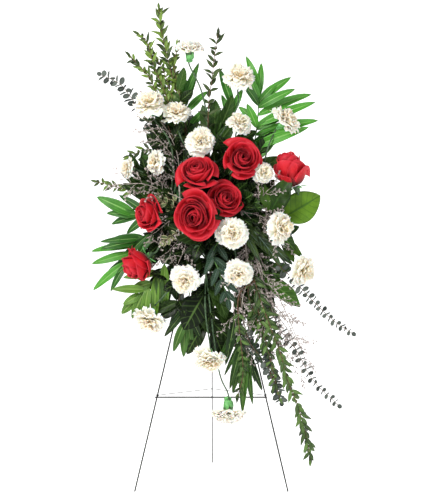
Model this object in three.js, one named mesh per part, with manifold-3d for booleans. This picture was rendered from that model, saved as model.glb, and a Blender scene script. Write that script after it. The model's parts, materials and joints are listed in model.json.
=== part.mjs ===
// A standing spray of red roses, white carnations and mixed greenery on a folding wire easel.
// Millimetres, +Z up, the front faces -Y. The origin is under the middle of the whole piece, on the
// surface it stands on. Stems start in a block of wet foam, and every leaf grows from its stem.

import * as THREE from "three";
import { mergeVertices } from "three/addons/utils/BufferGeometryUtils.js";
import Module from "manifold-3d";

const wasm = await Module();
wasm.setup();

// Driving dimensions of the easel: 914 mm (36 inch) legs of 4 mm wire.
const EASEL = {
  apexHeight: 873,
  footSpread: 420, // between the two front feet
  frontReach: 170, // front feet ahead of the apex
  backReach: 180, // back foot behind the apex
  wire: 2, // radius of the legs and the crossbar
  legGap: 4.5, // each front leg's top beside the middle
  barHeight: 253,
  barLeft: -156,
  barRight: 153.5,
  pinHalf: 8,
  eyeRadius: 3.9, // middle of the back leg's eye, which turns on the pin
  eyeWire: 1.6,
  spreaderWire: 0.9,
  spreaderDip: 27, // the spreader's back bend below its ends
  turnHalf: 4, // half the width of that bend
};

// The foam block, and the tray that it sits in, wired to the front legs.
const HOLDER = {
  width: 230,
  height: 110,
  depth: 80,
  drop: 105, // centre of the block below the apex, along the legs
  wall: 3,
  rim: 22, // how far the tray's sides come forward
  tieWire: 0.8,
  tieHalf: 6, // half the width of a tie's loop
  tieDrop: 92,
  holeReach: 60, // how far along a stem its hole is cut
};

const CLEAR = 0.3; // air between two pieces that meet
const CUT = 0.25; // how far a piece's clearance cutter stands outside it

// The arrangement is laid out as it is seen from the front, on a picture 445 wide and 500 high.
// A place is written as a picture point and how far it stands ahead of the easel's apex.
const VIEW = {
  eye: new THREE.Vector3(30.6, -3770, 909),
  tilt: THREE.MathUtils.degToRad(3.9), // the view looks this much downwards
  focal: 1333,
  middle: [222.5, 250],
};

function spot([px, py, forward]) {
  const right = (px - VIEW.middle[0]) / VIEW.focal;
  const rise = (VIEW.middle[1] - py) / VIEW.focal;
  const sine = Math.sin(VIEW.tilt);
  const cosine = Math.cos(VIEW.tilt);
  const ray = new THREE.Vector3(right, cosine + rise * sine, rise * cosine - sine);
  return VIEW.eye.clone().addScaledVector(ray, (-forward - VIEW.eye.y) / ray.y);
}

// A number from 0 to 1 that is always the same for the same place in a list and seed.
function draw(index, seed) {
  const wave = Math.sin(index * 12.9898 + seed * 78.233) * 43758.5453;
  return wave - Math.floor(wave);
}

// Shapes

function solidOf(geometry) {
  geometry.deleteAttribute("normal");
  geometry.deleteAttribute("uv");
  const merged = mergeVertices(geometry, 1e-4);
  const mesh = new wasm.Mesh({
    numProp: 3,
    vertProperties: new Float32Array(merged.attributes.position.array),
    triVerts: new Uint32Array(merged.index.array),
  });
  return new wasm.Manifold(mesh);
}

function geometryOf(solid) {
  const mesh = solid.getMesh();
  const geometry = new THREE.BufferGeometry();
  geometry.setAttribute("position", new THREE.BufferAttribute(mesh.vertProperties, 3));
  geometry.setIndex(new THREE.BufferAttribute(mesh.triVerts, 1));
  geometry.computeVertexNormals();
  return geometry;
}

function indexed(points, triangles) {
  const geometry = new THREE.BufferGeometry();
  const numbers = points.flatMap((point) => point.toArray());
  geometry.setAttribute("position", new THREE.Float32BufferAttribute(numbers, 3));
  geometry.setIndex(triangles);
  return geometry;
}

function fuse(solids) {
  return solids.length > 1 ? wasm.Manifold.union(solids) : solids[0];
}

function round(radius, sides) {
  const section = new THREE.Shape();
  for (let i = 0; i < sides; i += 1) {
    const angle = ((i + 0.5) / sides) * 2 * Math.PI;
    const [x, y] = [radius * Math.cos(angle), radius * Math.sin(angle)];
    if (i === 0) section.moveTo(x, y);
    else section.lineTo(x, y);
  }
  section.closePath();
  return section;
}

function routeOf(points) {
  if (points.length === 2) return new THREE.LineCurve3(points[0], points[1]);
  return new THREE.CatmullRomCurve3(points, false, "catmullrom", 0.5);
}

function wireAlong(route, radius, sides, steps) {
  const options = { extrudePath: route, steps, bevelEnabled: false };
  return solidOf(new THREE.ExtrudeGeometry(round(radius, sides), options));
}

function rod(points, radius, sides, steps) {
  return wireAlong(routeOf(points), radius, sides, steps);
}

// The radius that puts a cutter's flat sides clear of a wire with as many sides.
function wider(radius, grow, sides) {
  return radius + grow / Math.cos(Math.PI / sides);
}

function block(width, depth, height, place) {
  const geometry = new THREE.BoxGeometry(width, depth, height);
  geometry.translate(place.x, place.y, place.z);
  return solidOf(geometry);
}

// A closed skin over rings that have the same number of points, with a point at each end.
function ringSolid(first, rings, last) {
  const count = rings[0].length;
  const points = [first, ...rings.flat(), last];
  const triangles = [];
  const at = (ring, i) => 1 + ring * count + (i % count);
  for (let i = 0; i < count; i += 1) {
    triangles.push(0, at(0, i + 1), at(0, i));
    for (let ring = 0; ring + 1 < rings.length; ring += 1) {
      triangles.push(at(ring, i), at(ring, i + 1), at(ring + 1, i + 1));
      triangles.push(at(ring, i), at(ring + 1, i + 1), at(ring + 1, i));
    }
    triangles.push(at(rings.length - 1, i), at(rings.length - 1, i + 1), points.length - 1);
  }
  return solidOf(indexed(points, triangles));
}

// A level wire with sharp bends: a ring across each end and halfway round each bend.
function bentWire(points, radius, sides) {
  const up = new THREE.Vector3(0, 0, 1);
  const ways = points.slice(1).map((point, i) => point.clone().sub(points[i]).normalize());
  const rings = points.map((point, i) => {
    const before = ways[Math.max(i - 1, 0)];
    const after = ways[Math.min(i, ways.length - 1)];
    const side = up.clone().cross(before.clone().add(after)).normalize();
    const mitre = radius / Math.cos(before.angleTo(after) / 2);
    const ring = [];
    for (let corner = 0; corner < sides; corner += 1) {
      const angle = (corner / sides) * 2 * Math.PI;
      ring.push(point.clone().addScaledVector(side, mitre * Math.cos(angle))
        .addScaledVector(up, radius * Math.sin(angle)));
    }
    return ring;
  });
  return ringSolid(points[0], rings, points[points.length - 1]);
}

// Leaves: thin lenses with a raised rib on each face. A ribbed leaf has rows [place along, width]
// across it, and a small one has a plain outline [place along, offset] round a thick middle.

const ROWS = {
  broad: [[0.2, 0.72], [0.5, 1], [0.8, 0.66]],
};
const OUTLINES = {
  strap: [[0.32, -0.5], [0.74, -0.42], [1, 0], [0.74, 0.42], [0.32, 0.5]],
  kite: [[0.42, -0.5], [1, 0], [0.42, 0.5]],
  oval: [[0.34, -0.5], [0.9, -0.3], [0.9, 0.3], [0.34, 0.5]],
};
const VIEWER = new THREE.Vector3(0, -1, 0.25); // where leaves turn their faces

function leafFrame(leaf) {
  const along = leaf.tip.clone().sub(leaf.base).normalize();
  const face = leaf.face.clone().addScaledVector(along, -leaf.face.dot(along)).normalize();
  const side = face.clone().cross(along);
  return { along, face, side };
}

function leafSolid(leaf, grow) {
  const { along, face, side } = leafFrame(leaf);
  const base = leaf.base.clone().addScaledVector(along, leaf.sink);
  const length = base.distanceTo(leaf.tip);
  const extra = (grow * 4) / length;
  const thick = leaf.thick / 2 + grow * 1.4;
  const at = (place, aside, above) => {
    const reach = place >= 1 ? 1 + extra : place <= 0 ? -extra : place;
    const rise = leaf.arch * length * 4 * reach * (1 - reach) + above;
    return base.clone().lerp(leaf.tip, reach).addScaledVector(side, aside).addScaledVector(face, rise);
  };
  const edge = (place, share, hand) => {
    const half = leaf.width * share;
    return at(place, hand * (half + grow * 3 * Math.sign(half)), half * leaf.fold);
  };
  const small = OUTLINES[leaf.outline];
  if (small) {
    const rim = small.map(([place, offset]) => edge(place, Math.abs(offset), Math.sign(offset)));
    return ringSolid(at(0.5, 0, -thick), [[at(0, 0, 0), ...rim]], at(0.5, 0, thick));
  }
  const rows = ROWS[leaf.outline].map(([place, share]) =>
    [edge(place, share / 2, -1), at(place, 0, thick), edge(place, share / 2, 1), at(place, 0, -thick)]);
  return ribbedSolid(at(0, 0, 0), rows, at(1, 0, 0));
}

// Rows of left edge, upper rib, right edge and lower rib, split alike on both faces.
function ribbedSolid(base, rows, tip) {
  const points = [base, ...rows.flat(), tip];
  const last = points.length - 1;
  const triangles = [];
  for (let row = 1; row < last; row += 4) {
    for (let i = 0; i < 4; i += 1) {
      const [a, b] = [row + i, row + ((i + 1) % 4)];
      if (row === 1) triangles.push(0, a, b);
      if (row + 4 >= last) triangles.push(last, b, a);
      else if (i === 0 || i === 2) triangles.push(a, a + 4, b + 4, a, b + 4, b);
      else triangles.push(a, a + 4, b, b, a + 4, b + 4);
    }
  }
  return solidOf(indexed(points, triangles));
}

// Greenery: stems that all start at one place in the foam, with leaves by list or by rule.

const GREENS = {
  palm: { stem: 2.4, sides: 4, thick: 1.5, outline: "strap", width: 24, arch: 0.07, fold: 0.16, sink: -2 },
  salal: { stem: 2.1, sides: 4, thick: 1.7, outline: "broad", width: 60, arch: 0.06, fold: 0.12, sink: -2 },
  myrtle: { stem: 2, sides: 3, thick: 1.6, outline: "kite", width: 12, length: 31, arch: 0.05, fold: 0.15,
    sink: 0.2 },
  eucalyptus: { stem: 2, sides: 3, thick: 1.5, outline: "oval", width: 16.5, length: 19, arch: 0.03,
    fold: 0.1, sink: 0.2 },
  pittosporum: { stem: 2, sides: 3, thick: 1.5, outline: "oval", width: 15, length: 26, arch: 0.03, fold: 0.1,
    sink: 0.2 },
  limonium: { stem: 1.5, sides: 3, twig: 1, width: 6.4, length: 9, sink: -0.4 },
};

// Straight stretches between points of a route that lie evenly along it.
class Stalk {
  constructor(route, steps) {
    this.joints = route.getSpacedPoints(steps);
    this.steps = steps;
  }

  point(share) {
    const reach = Math.min(share * this.steps, this.steps - 1e-6);
    const joint = Math.floor(reach);
    return this.joints[joint].clone().lerp(this.joints[joint + 1], reach - joint);
  }

  heading(share) {
    const joint = Math.min(Math.floor(share * this.steps), this.steps - 1);
    return this.joints[joint + 1].clone().sub(this.joints[joint]).normalize();
  }
}

// The stalks of a plant: the first one stands in the foam, and the others branch from it.
function stalksOf(plant) {
  const style = GREENS[plant.kind];
  const made = [];
  for (const stem of plant.stems) {
    const places = stem.route.map(spot);
    if (made.length) places.unshift(made[0].stalk.point(stem.branch ?? 0.25));
    const route = routeOf(places);
    made.push({ style, route, stalk: new Stalk(route, stem.bends ?? (stem.leaves ? 3 : 5)) });
  }
  return made;
}

// A leaf that is listed: its tip as a picture place, and where on its stem it grows.
function listedLeaf({ style, stalk }, [tip, start, width, turn = 0]) {
  const face = VIEWER.clone().applyAxisAngle(new THREE.Vector3(0, 0, 1), turn);
  const base = stalk.point(start);
  return { ...style, base, tip: spot(tip), width: width ?? style.width, face };
}

// Leaves in pairs along a stem, each pair turned from the last, tips leaning towards the stem's end.
function pairedLeaves({ style, stalk }, rule) {
  const leaves = [];
  for (let pair = 0; pair < rule.pairs; pair += 1) {
    const place = rule.from + ((0.97 - rule.from) * (pair + 0.5)) / rule.pairs;
    const base = stalk.point(place);
    const ahead = stalk.heading(place);
    const across = ahead.clone().cross(VIEWER).normalize();
    const size = 1 - (rule.taper ?? 0.35) * place;
    for (const hand of [1, -1]) {
      const index = pair * 2 + (hand + 1) / 2;
      const roll = hand * (pair % 2 ? 1.1 : 0.25) + 0.5 * (draw(index, rule.seed) - 0.5);
      const out = across.clone().multiplyScalar(hand).applyAxisAngle(ahead, roll);
      const spread = (rule.spread ?? 0.9) + 0.3 * (draw(index, rule.seed + 1) - 0.5);
      const reach = style.length * size * (0.85 + 0.3 * draw(index, rule.seed + 2));
      const way = ahead.clone().multiplyScalar(Math.cos(spread)).addScaledVector(out, Math.sin(spread));
      const tip = base.clone().addScaledVector(way, reach);
      const face = VIEWER.clone().addScaledVector(ahead, 0.7).addScaledVector(across, 0.4 * hand);
      leaves.push({ ...style, base, tip, width: style.width * size, face });
    }
  }
  const ahead = stalk.heading(1);
  const base = stalk.point(1).addScaledVector(ahead, -style.stem);
  const tip = base.clone().addScaledVector(ahead, style.length * 0.7);
  leaves.push({ ...style, base, tip, width: style.width * 0.6, face: VIEWER.clone() });
  return leaves;
}

const TWIG = { shortest: 22, spread: 18, lean: 0.9, lastLean: 0.2 };

// Side twigs that each end in a floret, as on sea lavender.
function floretTwigs({ stalk }, rule) {
  const twigs = [];
  for (let i = 0; i <= rule.twigs; i += 1) {
    const place = rule.from + ((1 - rule.from) * i) / rule.twigs;
    const base = stalk.point(place);
    const ahead = stalk.heading(place);
    const across = ahead.clone().cross(VIEWER).normalize();
    const turn = (i % 2 ? Math.PI : 0) + 1.6 * (draw(i, rule.seed) - 0.5);
    const out = across.applyAxisAngle(ahead, turn);
    const lean = i === rule.twigs ? TWIG.lastLean : TWIG.lean;
    const way = ahead.clone().multiplyScalar(Math.cos(lean)).addScaledVector(out, Math.sin(lean));
    const end = base.clone().addScaledVector(way, TWIG.shortest + TWIG.spread * draw(i, rule.seed + 3));
    twigs.push({ base, end, way });
  }
  return twigs;
}

// A twig and its floret in one slim skin: two thin rings, the floret's widest ring and its point.
function twigSolid(style, { base, end, way }, grow) {
  const side = way.clone().cross(VIEWER).normalize();
  const other = way.clone().cross(side);
  const reach = base.distanceTo(end);
  const ring = (along, radius) => [0, 1, 2].map((corner) => {
    const angle = (corner * 2 * Math.PI) / 3;
    return base.clone().addScaledVector(way, along)
      .addScaledVector(side, (radius + grow * 2) * Math.cos(angle))
      .addScaledVector(other, (radius + grow * 2) * Math.sin(angle));
  });
  const tip = end.clone().addScaledVector(way, style.length * 0.5 + grow * 4);
  const foot = base.clone().addScaledVector(way, style.sink - grow);
  return ringSolid(foot, [ring(1.5, style.twig), ring(reach - style.length * 0.5, style.twig),
    ring(reach, style.width / 2)], tip);
}

const GREENERY = [
  { node: "palm_frond_upper", kind: "palm", tone: "palmBright", stems: [
    { route: [[236, 200, 66], [250, 160, 62], [257, 127, 52], [259, 92, 42]], leaves: [
      [[289, 73, 30], 0.93, 24], [[293, 85, 62], 0.86, 26], [[312, 90, 28], 0.79, 28],
      [[315, 99, 66], 0.7, 28], [[316, 113, 26], 0.61, 30], [[309, 127, 66], 0.5, 30],
      [[275, 147, 78], 0.36, 26], [[247, 55, 40], 0.99, 24], [[238, 82, 62], 0.88, 22], [[262, 62, 20], 0.96, 20],
      [[238, 108, 30], 0.72, 22], [[302, 122, 44], 0.55, 26], [[290, 136, 50], 0.44, 26],
      [[276, 80, 46], 0.9, 22], [[245, 74, 50], 0.93, 22], [[246, 104, 56], 0.68, 24],
      [[300, 106, 48], 0.66, 26]] },
    { route: [[231, 150, 40], [233, 105, 34]], leaves: [
      [[222, 67, 30], 0.99, 24], [[240, 88, 18], 0.9, 20], [[221, 95, 24], 0.8, 20],
      [[228, 84, 42], 0.95, 20], [[246, 112, 26], 0.7, 22]] },
  ] },
  { node: "palm_frond_left", kind: "palm", tone: "palmBright", stems: [
    { route: [[184, 208, 66], [160, 214, 62], [134, 215, 55]], leaves: [
      [[95, 201, 48], 0.97, 32], [[112, 222, 30], 0.85, 26], [[118, 196, 36], 0.7, 24],
      [[106, 212, 60], 0.9, 26], [[126, 232, 46], 0.7, 24]] },
    { route: [[160, 230, 80], [138, 240, 80], [126, 264, 76]], leaves: [
      [[101, 251, 98], 0.66, 26], [[90, 250, 60], 0.74, 22], [[92, 266, 88], 0.84, 28],
      [[90, 287, 78], 0.97, 30],
      [[116, 266, 66], 0.48, 24], [[108, 238, 74], 0.55, 24], [[112, 292, 98], 0.98, 24],
      [[100, 240, 92], 0.6, 22], [[104, 278, 66], 0.9, 24], [[132, 258, 92], 0.4, 22]] },
  ] },
  { node: "palm_frond_lower_left", kind: "palm", tone: "palmYellow", stems: [
    { route: [[188, 226, 84], [166, 262, 108], [149, 286, 112], [136, 300, 108]], leaves: [
      [[121, 314, 104], 0.96, 28], [[130, 318, 122], 0.86, 28], [[112, 292, 122], 0.84, 24],
      [[150, 322, 98], 0.66, 26], [[124, 280, 96], 0.6, 24], [[168, 310, 106], 0.5, 26],
      [[141, 322, 112], 0.8, 26], [[122, 302, 116], 0.92, 24], [[158, 304, 118], 0.62, 26],
      [[132, 290, 104], 0.75, 26]] },
  ] },
  { node: "palm_frond_lower", kind: "palm", tone: "palmBright", stems: [
    { route: [[206, 226, 88], [192, 280, 118], [184, 322, 122]], leaves: [
      [[176, 353, 128], 0.97, 30], [[196, 352, 112], 0.9, 28], [[164, 338, 116], 0.82, 26],
      [[186, 358, 116], 0.99, 32], [[206, 338, 122], 0.85, 28], [[170, 326, 108], 0.72, 26]] },
    { route: [[234, 300, 122], [246, 352, 140]], leaves: [
      [[223, 388, 156], 0.88, 30], [[231, 395, 138], 0.97, 28], [[248, 413, 150], 0.99, 34],
      [[262, 392, 138], 0.94, 26], [[222, 356, 134], 0.72, 26], [[239, 398, 150], 0.95, 28],
      [[262, 370, 138], 0.8, 26], [[216, 372, 144], 0.78, 24], [[232, 366, 130], 0.6, 26]] },
  ] },
  { node: "palm_straps_upper_left", kind: "palm", tone: "palmDark", stems: [
    { route: [[204, 198, 46], [193, 150, 42], [184, 98, 36]], leaves: [
      [[200, 74, 30], 0.96, 22], [[197, 62, 50], 0.99, 20], [[209, 92, 34], 0.86, 22],
      [[208, 107, 50], 0.7, 22], [[166, 112, 26], 0.74, 20], [[176, 76, 20], 0.97, 20],
      [[188, 80, 42], 0.92, 22], [[216, 120, 40], 0.55, 22], [[168, 130, 34], 0.6, 20],
      [[160, 98, 40], 0.84, 20]] },
  ] },
  { node: "salal_branch_top", kind: "salal", tone: "salalDark", stems: [
    { route: [[218, 198, 56], [214, 165, 60], [214, 136, 62]], leaves: [[[231, 94, 66], 0.97, 46, 0.5],
      [[198, 106, 54], 0.85, 38, -0.3], [[234, 122, 76], 0.78, 38, 0.4], [[194, 150, 66], 0.45, 40, -0.4],
      [[240, 148, 72], 0.5, 42, 0.4], [[215, 100, 52], 1, 40, 0]] },
    { route: [[228, 165, 70], [232, 146, 74]], leaves: [[[257, 131, 82], 0.97, 36, -0.3]] },
    { route: [[250, 172, 66], [259, 152, 70]], leaves: [[[275, 133, 62], 0.97, 36, 0.4],
      [[242, 132, 60], 0.85, 38, -0.3], [[284, 158, 58], 0.7, 36, 0.5], [[236, 168, 84], 0.4, 40, -0.3]] },
    { route: [[190, 140, 62], [178, 88, 60]], leaves: [[[187, 68, 60], 0.98, 27, 0.3],
      [[164, 116, 58], 0.62, 32, -0.3], [[198, 122, 70], 0.5, 32, 0.3], [[166, 92, 50], 0.88, 26, -0.2]] },
    { branch: 0.4, route: [[208, 178, 88], [202, 182, 104]], leaves: [[[172, 200, 107], 0.95, 54, -0.2]] },
    { branch: 0.34, route: [[228, 176, 86], [230, 180, 104]], leaves: [[[256, 204, 112], 0.95, 54, 0.2]] },
    { branch: 0.2, route: [[188, 178, 64], [166, 152, 58]], leaves: [[[146, 134, 52], 0.97, 38, -0.3],
      [[186, 148, 68], 0.55, 38, 0.2], [[156, 178, 66], 0.6, 38, -0.3], [[170, 124, 62], 0.9, 36, 0.2],
      [[138, 158, 52], 0.85, 36, -0.5]] },
    { branch: 0.1, route: [[184, 200, 62], [158, 204, 56]], leaves: [[[136, 188, 50], 0.92, 38, -0.4],
      [[132, 208, 46], 0.98, 32, -0.4], [[150, 234, 62], 0.75, 40, -0.4], [[160, 182, 60], 0.6, 38, -0.2]] },
  ] },
  { node: "salal_branch_right", kind: "salal", tone: "salalLight", stems: [
    { route: [[244, 206, 74], [270, 216, 86], [286, 218, 90]], leaves: [[[322, 200, 84], 0.96, 84, 0.25]] },
    { route: [[262, 210, 92], [270, 206, 98]], leaves: [[[285, 177, 84], 0.95, 48, -0.5]] },
    { route: [[258, 207, 92], [258, 201, 94]], leaves: [[[266, 185, 78], 0.95, 34, 0.3]] },
    { route: [[272, 232, 70], [284, 240, 62]], leaves: [[[310, 236, 50], 0.95, 52, 0.4]] },
  ] },
  { node: "salal_branch_lower_right", kind: "salal", tone: "salalBright", stems: [
    { route: [[240, 222, 78], [258, 262, 92], [266, 280, 98]], leaves: [
      [[302, 304, 88], 0.98, 50, 0.2], [[292, 270, 72], 0.9, 44, 0.5], [[284, 250, 78], 0.5, 42, 0.5],
      [[282, 292, 92], 0.85, 44, 0.3], [[244, 290, 96], 0.75, 40, -0.3]] },
    { route: [[246, 262, 100], [253, 282, 108]], leaves: [[[273, 306, 108], 0.97, 50, -0.3],
      [[256, 324, 114], 0.99, 44, 0.1]] },
    { branch: 0.1, route: [[256, 216, 72], [276, 230, 68]], leaves: [[[294, 252, 62], 0.97, 40, 0.4],
      [[262, 250, 78], 0.65, 44, 0.2], [[292, 216, 66], 0.8, 38, 0.5]] },
  ] },
  { node: "salal_branch_lower_left", kind: "salal", tone: "salalDark", stems: [
    { route: [[204, 224, 80], [206, 262, 104], [204, 296, 118]], leaves: [[[180, 326, 134], 0.97, 76, 0.2],
      [[180, 274, 110], 0.5, 42, -0.2], [[232, 274, 114], 0.5, 44, 0.3], [[228, 308, 120], 0.78, 46, 0.3],
      [[206, 334, 122], 0.99, 48, 0]] },
    { route: [[208, 290, 100], [204, 326, 108]], leaves: [[[186, 354, 114], 0.97, 50, -0.3],
      [[190, 334, 102], 0.7, 42, -0.4]] },
    { route: [[212, 290, 112], [213, 332, 124]], leaves: [[[228, 360, 126], 0.97, 50, 0.3],
      [[244, 336, 122], 0.75, 44, 0.4]] },
    { route: [[202, 242, 128]], leaves: [[[167, 222, 136], 0.95, 54, -0.2]] },
    { branch: 0.48, route: [[215, 253, 114]], leaves: [[[246, 234, 117], 0.95, 46, 0.2]] },
    { route: [[186, 270, 108], [177, 309, 112]], leaves: [
      [[160, 319, 116], 0.98, 30], [[152, 311, 104], 0.9, 30]] },
    { branch: 0.15, route: [[190, 248, 86], [168, 284, 92]], leaves: [[[150, 258, 80], 0.4, 42, -0.4],
      [[180, 300, 100], 0.75, 44, 0.2], [[146, 288, 86], 0.75, 44, -0.4], [[162, 312, 94], 0.99, 42, -0.2]] },
    { branch: 0.15, route: [[230, 246, 90], [244, 284, 98]], leaves: [[[260, 262, 86], 0.45, 44, 0.4],
      [[272, 290, 88], 0.8, 46, 0.4], [[236, 322, 106], 0.98, 46, -0.1], [[262, 314, 98], 0.97, 44, 0.3]] },
  ] },
  { node: "myrtle_sprigs_upper_left", kind: "myrtle", tone: "myrtleGreen", stems: [
    { route: [[200, 195, 58], [190, 150, 58], [178, 98, 52], [169, 64, 46], [161, 29, 40], [159, 5, 36]],
      pairs: 12, from: 0.3, seed: 11, taper: 0.25, bends: 6 },
    { route: [[182, 140, 64], [165, 93, 62], [154, 66, 60], [147, 42, 56], [138, 34, 52]],
      pairs: 8, from: 0.42, seed: 21, bends: 6 },
    { route: [[174, 140, 70], [153, 85, 72], [144, 71, 72], [130, 56, 70]],
      pairs: 7, from: 0.42, seed: 27 },
  ] },
  { node: "myrtle_sprig_upper_right", kind: "myrtle", tone: "myrtleDark", stems: [
    { route: [[210, 198, 84], [208, 140, 88], [209, 99, 82], [212, 80, 76], [214, 60, 70], [218, 34, 62]],
      pairs: 10, from: 0.4, seed: 31, spread: 1.15 },
  ] },
  { node: "myrtle_sprig_trailing", kind: "myrtle", tone: "myrtleGreen", stems: [
    { route: [[236, 220, 98], [258, 292, 150], [270, 326, 160], [281, 355, 158], [288, 382, 152],
      [297, 403, 146], [303, 424, 138], [308, 444, 130], [310, 460, 124]],
      pairs: 17, from: 0.2, seed: 41, taper: 0.1, bends: 8 },
    { route: [[238, 300, 156], [243, 368, 170], [238, 396, 172]], pairs: 5, from: 0.72, seed: 45 },
  ] },
  { node: "myrtle_sprigs_left", kind: "myrtle", tone: "myrtleGreen", stems: [
    { route: [[180, 204, 52], [150, 196, 42], [120, 188, 36], [97, 182, 32]],
      pairs: 6, from: 0.5, seed: 51, spread: 1.1 },
    { route: [[166, 168, 50], [150, 149, 48], [129, 157, 46]], pairs: 5, from: 0.5, seed: 55 },
  ] },
  { node: "eucalyptus_stem_upper", kind: "eucalyptus", tone: "eucalyptus", stems: [
    { route: [[188, 200, 42], [166, 150, 32], [149, 122, 28], [132, 99, 26], [120, 84, 24], [101, 75, 22]],
      pairs: 9, from: 0.38, seed: 61, spread: 1.15, taper: 0.25 },
  ] },
  { node: "eucalyptus_stem_right", kind: "eucalyptus", tone: "eucalyptus", stems: [
    { route: [[242, 216, 92], [274, 260, 126], [292, 278, 130], [312, 300, 124], [334, 321, 116],
      [352, 333, 110]],
      pairs: 9, from: 0.42, seed: 71, spread: 1.15, taper: 0.3 },
  ] },
  { node: "eucalyptus_stems_lower", kind: "eucalyptus", tone: "eucalyptus", stems: [
    { route: [[232, 224, 86], [262, 290, 128], [281, 331, 134], [297, 351, 132], [312, 379, 126],
      [338, 405, 118]],
      pairs: 9, from: 0.42, seed: 81, spread: 1.15, taper: 0.3 },
    { route: [[240, 290, 138], [248, 338, 152], [261, 357, 150], [273, 376, 144], [281, 402, 138]],
      pairs: 8, from: 0.5, seed: 85, spread: 1.15, taper: 0.3 },
  ] },
  { node: "limonium_spray_left", kind: "limonium", tone: "limonium", stems: [
    { route: [[194, 206, 96], [184, 200, 118], [166, 192, 124], [144, 184, 118], [126, 184, 112]],
      twigs: 6, from: 0.42, seed: 91 },
    { route: [[176, 164, 88], [160, 140, 84], [150, 127, 80]], twigs: 5, from: 0.4, seed: 95 },
    { route: [[182, 232, 116], [168, 252, 124]], twigs: 4, from: 0.5, seed: 99 },
  ] },
  { node: "limonium_spray_right", kind: "limonium", tone: "limonium", stems: [
    { route: [[230, 210, 98], [254, 204, 128], [268, 190, 130]], twigs: 5, from: 0.4, seed: 103 },
    { route: [[250, 244, 136], [262, 272, 142], [258, 310, 146], [250, 330, 148]],
      twigs: 6, from: 0.35, seed: 107 },
    { route: [[262, 262, 122], [284, 308, 124], [304, 356, 116]], twigs: 5, from: 0.5, seed: 111 },
  ] },
  { node: "pittosporum_twigs", kind: "pittosporum", tone: "pittosporum", stems: [
    { route: [[190, 210, 100], [176, 202, 122], [162, 194, 126]], pairs: 3, from: 0.45, seed: 121,
      spread: 1.0 },
    { route: [[182, 228, 128], [168, 246, 134]], pairs: 4, from: 0.4, seed: 125, spread: 1.0 },
  ] },
  { node: "dark_greens_centre", kind: "palm", tone: "fern", stems: [
    { route: [[214, 216, 96], [238, 222, 120], [250, 226, 134]], bends: 3, leaves: [
      [[291, 269, 138], 0.97, 27], [[262, 262, 130], 0.7, 22], [[278, 244, 132], 0.92, 24]] },
    { branch: 0.6, route: [[218, 250, 140], [226, 300, 138]], leaves: [
      [[206, 262, 138], 0.45, 12], [[236, 262, 128], 0.5, 12], [[204, 278, 134], 0.6, 12],
      [[240, 288, 140], 0.68, 12], [[207, 296, 128], 0.76, 12], [[243, 304, 130], 0.84, 12],
      [[213, 312, 136], 0.92, 12], [[231, 322, 134], 0.98, 12]] },
  ] },
];

// Blooms: middle of the head, which way it faces (turned right, raised), size against a full bloom.

const ROSES = [
  { at: [197, 171, 168], turn: -15, rise: 48, size: 1.16, open: 1 },
  { at: [242, 158, 166], turn: 12, rise: 14, size: 1.08, open: 1 },
  { at: [195, 215, 214], turn: -14, rise: -8, size: 1.18, open: 1 },
  { at: [225, 199, 160], turn: 18, rise: 16, size: 1.0, open: 1 },
  { at: [290, 170, 120], turn: 100, rise: 50, size: 1.2, open: 0.66 },
  { at: [148, 214, 142], turn: -55, rise: 0, size: 1.0, open: 0.9 },
  { at: [136, 266, 132], turn: -52, rise: -42, size: 1.1, open: 0.5 },
];

const CARNATIONS = [
  { at: [190, 47, 70], turn: 0, rise: 78, size: 0.76, stalk: [205, 105, 80] },
  { at: [239, 72, 92], turn: 10, rise: 46, size: 0.94, stalk: [236, 110, 90] },
  { at: [148, 100, 112], turn: -28, rise: 30, size: 0.92, stalk: [172, 150, 104] },
  { at: [176, 109, 100], turn: -5, rise: 46, size: 0.98, stalk: [186, 146, 92] },
  { at: [201, 139, 142], turn: 0, rise: 30, size: 1.02, stalk: [204, 170, 104] },
  { at: [241, 119, 116], turn: 16, rise: 36, size: 0.86, stalk: [232, 150, 98] },
  { at: [289, 118, 98], turn: 100, rise: 52, size: 0.88, stalk: [265, 160, 100] },
  { at: [152, 162, 128], turn: -60, rise: 8, size: 0.84, stalk: [176, 180, 104] },
  { at: [125, 168, 100], turn: -66, rise: 6, size: 0.68, stalk: [160, 184, 88] },
  { at: [265, 172, 150], turn: 32, rise: 12, size: 0.76, stalk: [250, 186, 112] },
  { at: [233, 234, 192], turn: 8, rise: -6, size: 1.06, stalk: [228, 222, 140] },
  { at: [285, 228, 168], turn: 46, rise: 2, size: 1.08, stalk: [262, 222, 132] },
  { at: [239, 276, 172], turn: 6, rise: -16, size: 0.98, stalk: [232, 246, 132] },
  { at: [307, 271, 138], turn: 62, rise: -8, size: 1.0, stalk: [272, 244, 116] },
  { at: [184, 282, 172], turn: -14, rise: -18, size: 1.0, stalk: [196, 246, 136] },
  { at: [149, 325, 124], turn: -142, rise: -55, size: 1.0, stalk: [160, 300, 132] },
  { at: [210, 364, 176], turn: 0, rise: -48, size: 0.98, stalk: [205, 300, 142] },
  { at: [228, 418, 172], turn: 0, rise: -80, size: 0.96, stalk: [218, 366, 150] },
];

// A bloom's rings are [radius, height, whether it is a rim], and its calyx's rings are the radius and
// height of a dip and then of a point. Sizes are those of a full bloom.
const CARNATION = {
  points: 15,
  petals: 3, // points of the rim for each petal
  radius: 38,
  seat: 8,
  height: 34,
  rings: [[8, 0, 0], [38, 15, 1], [22, 20, 0], [28, 33, 1]],
  heart: 24,
  flutter: 3.2,
  stem: 2.3,
  calyx: { points: 5, foot: -27, rings: [[5.5, -16, 5.5, -16], [7.4, 0, 7.4, 0]] },
};

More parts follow.
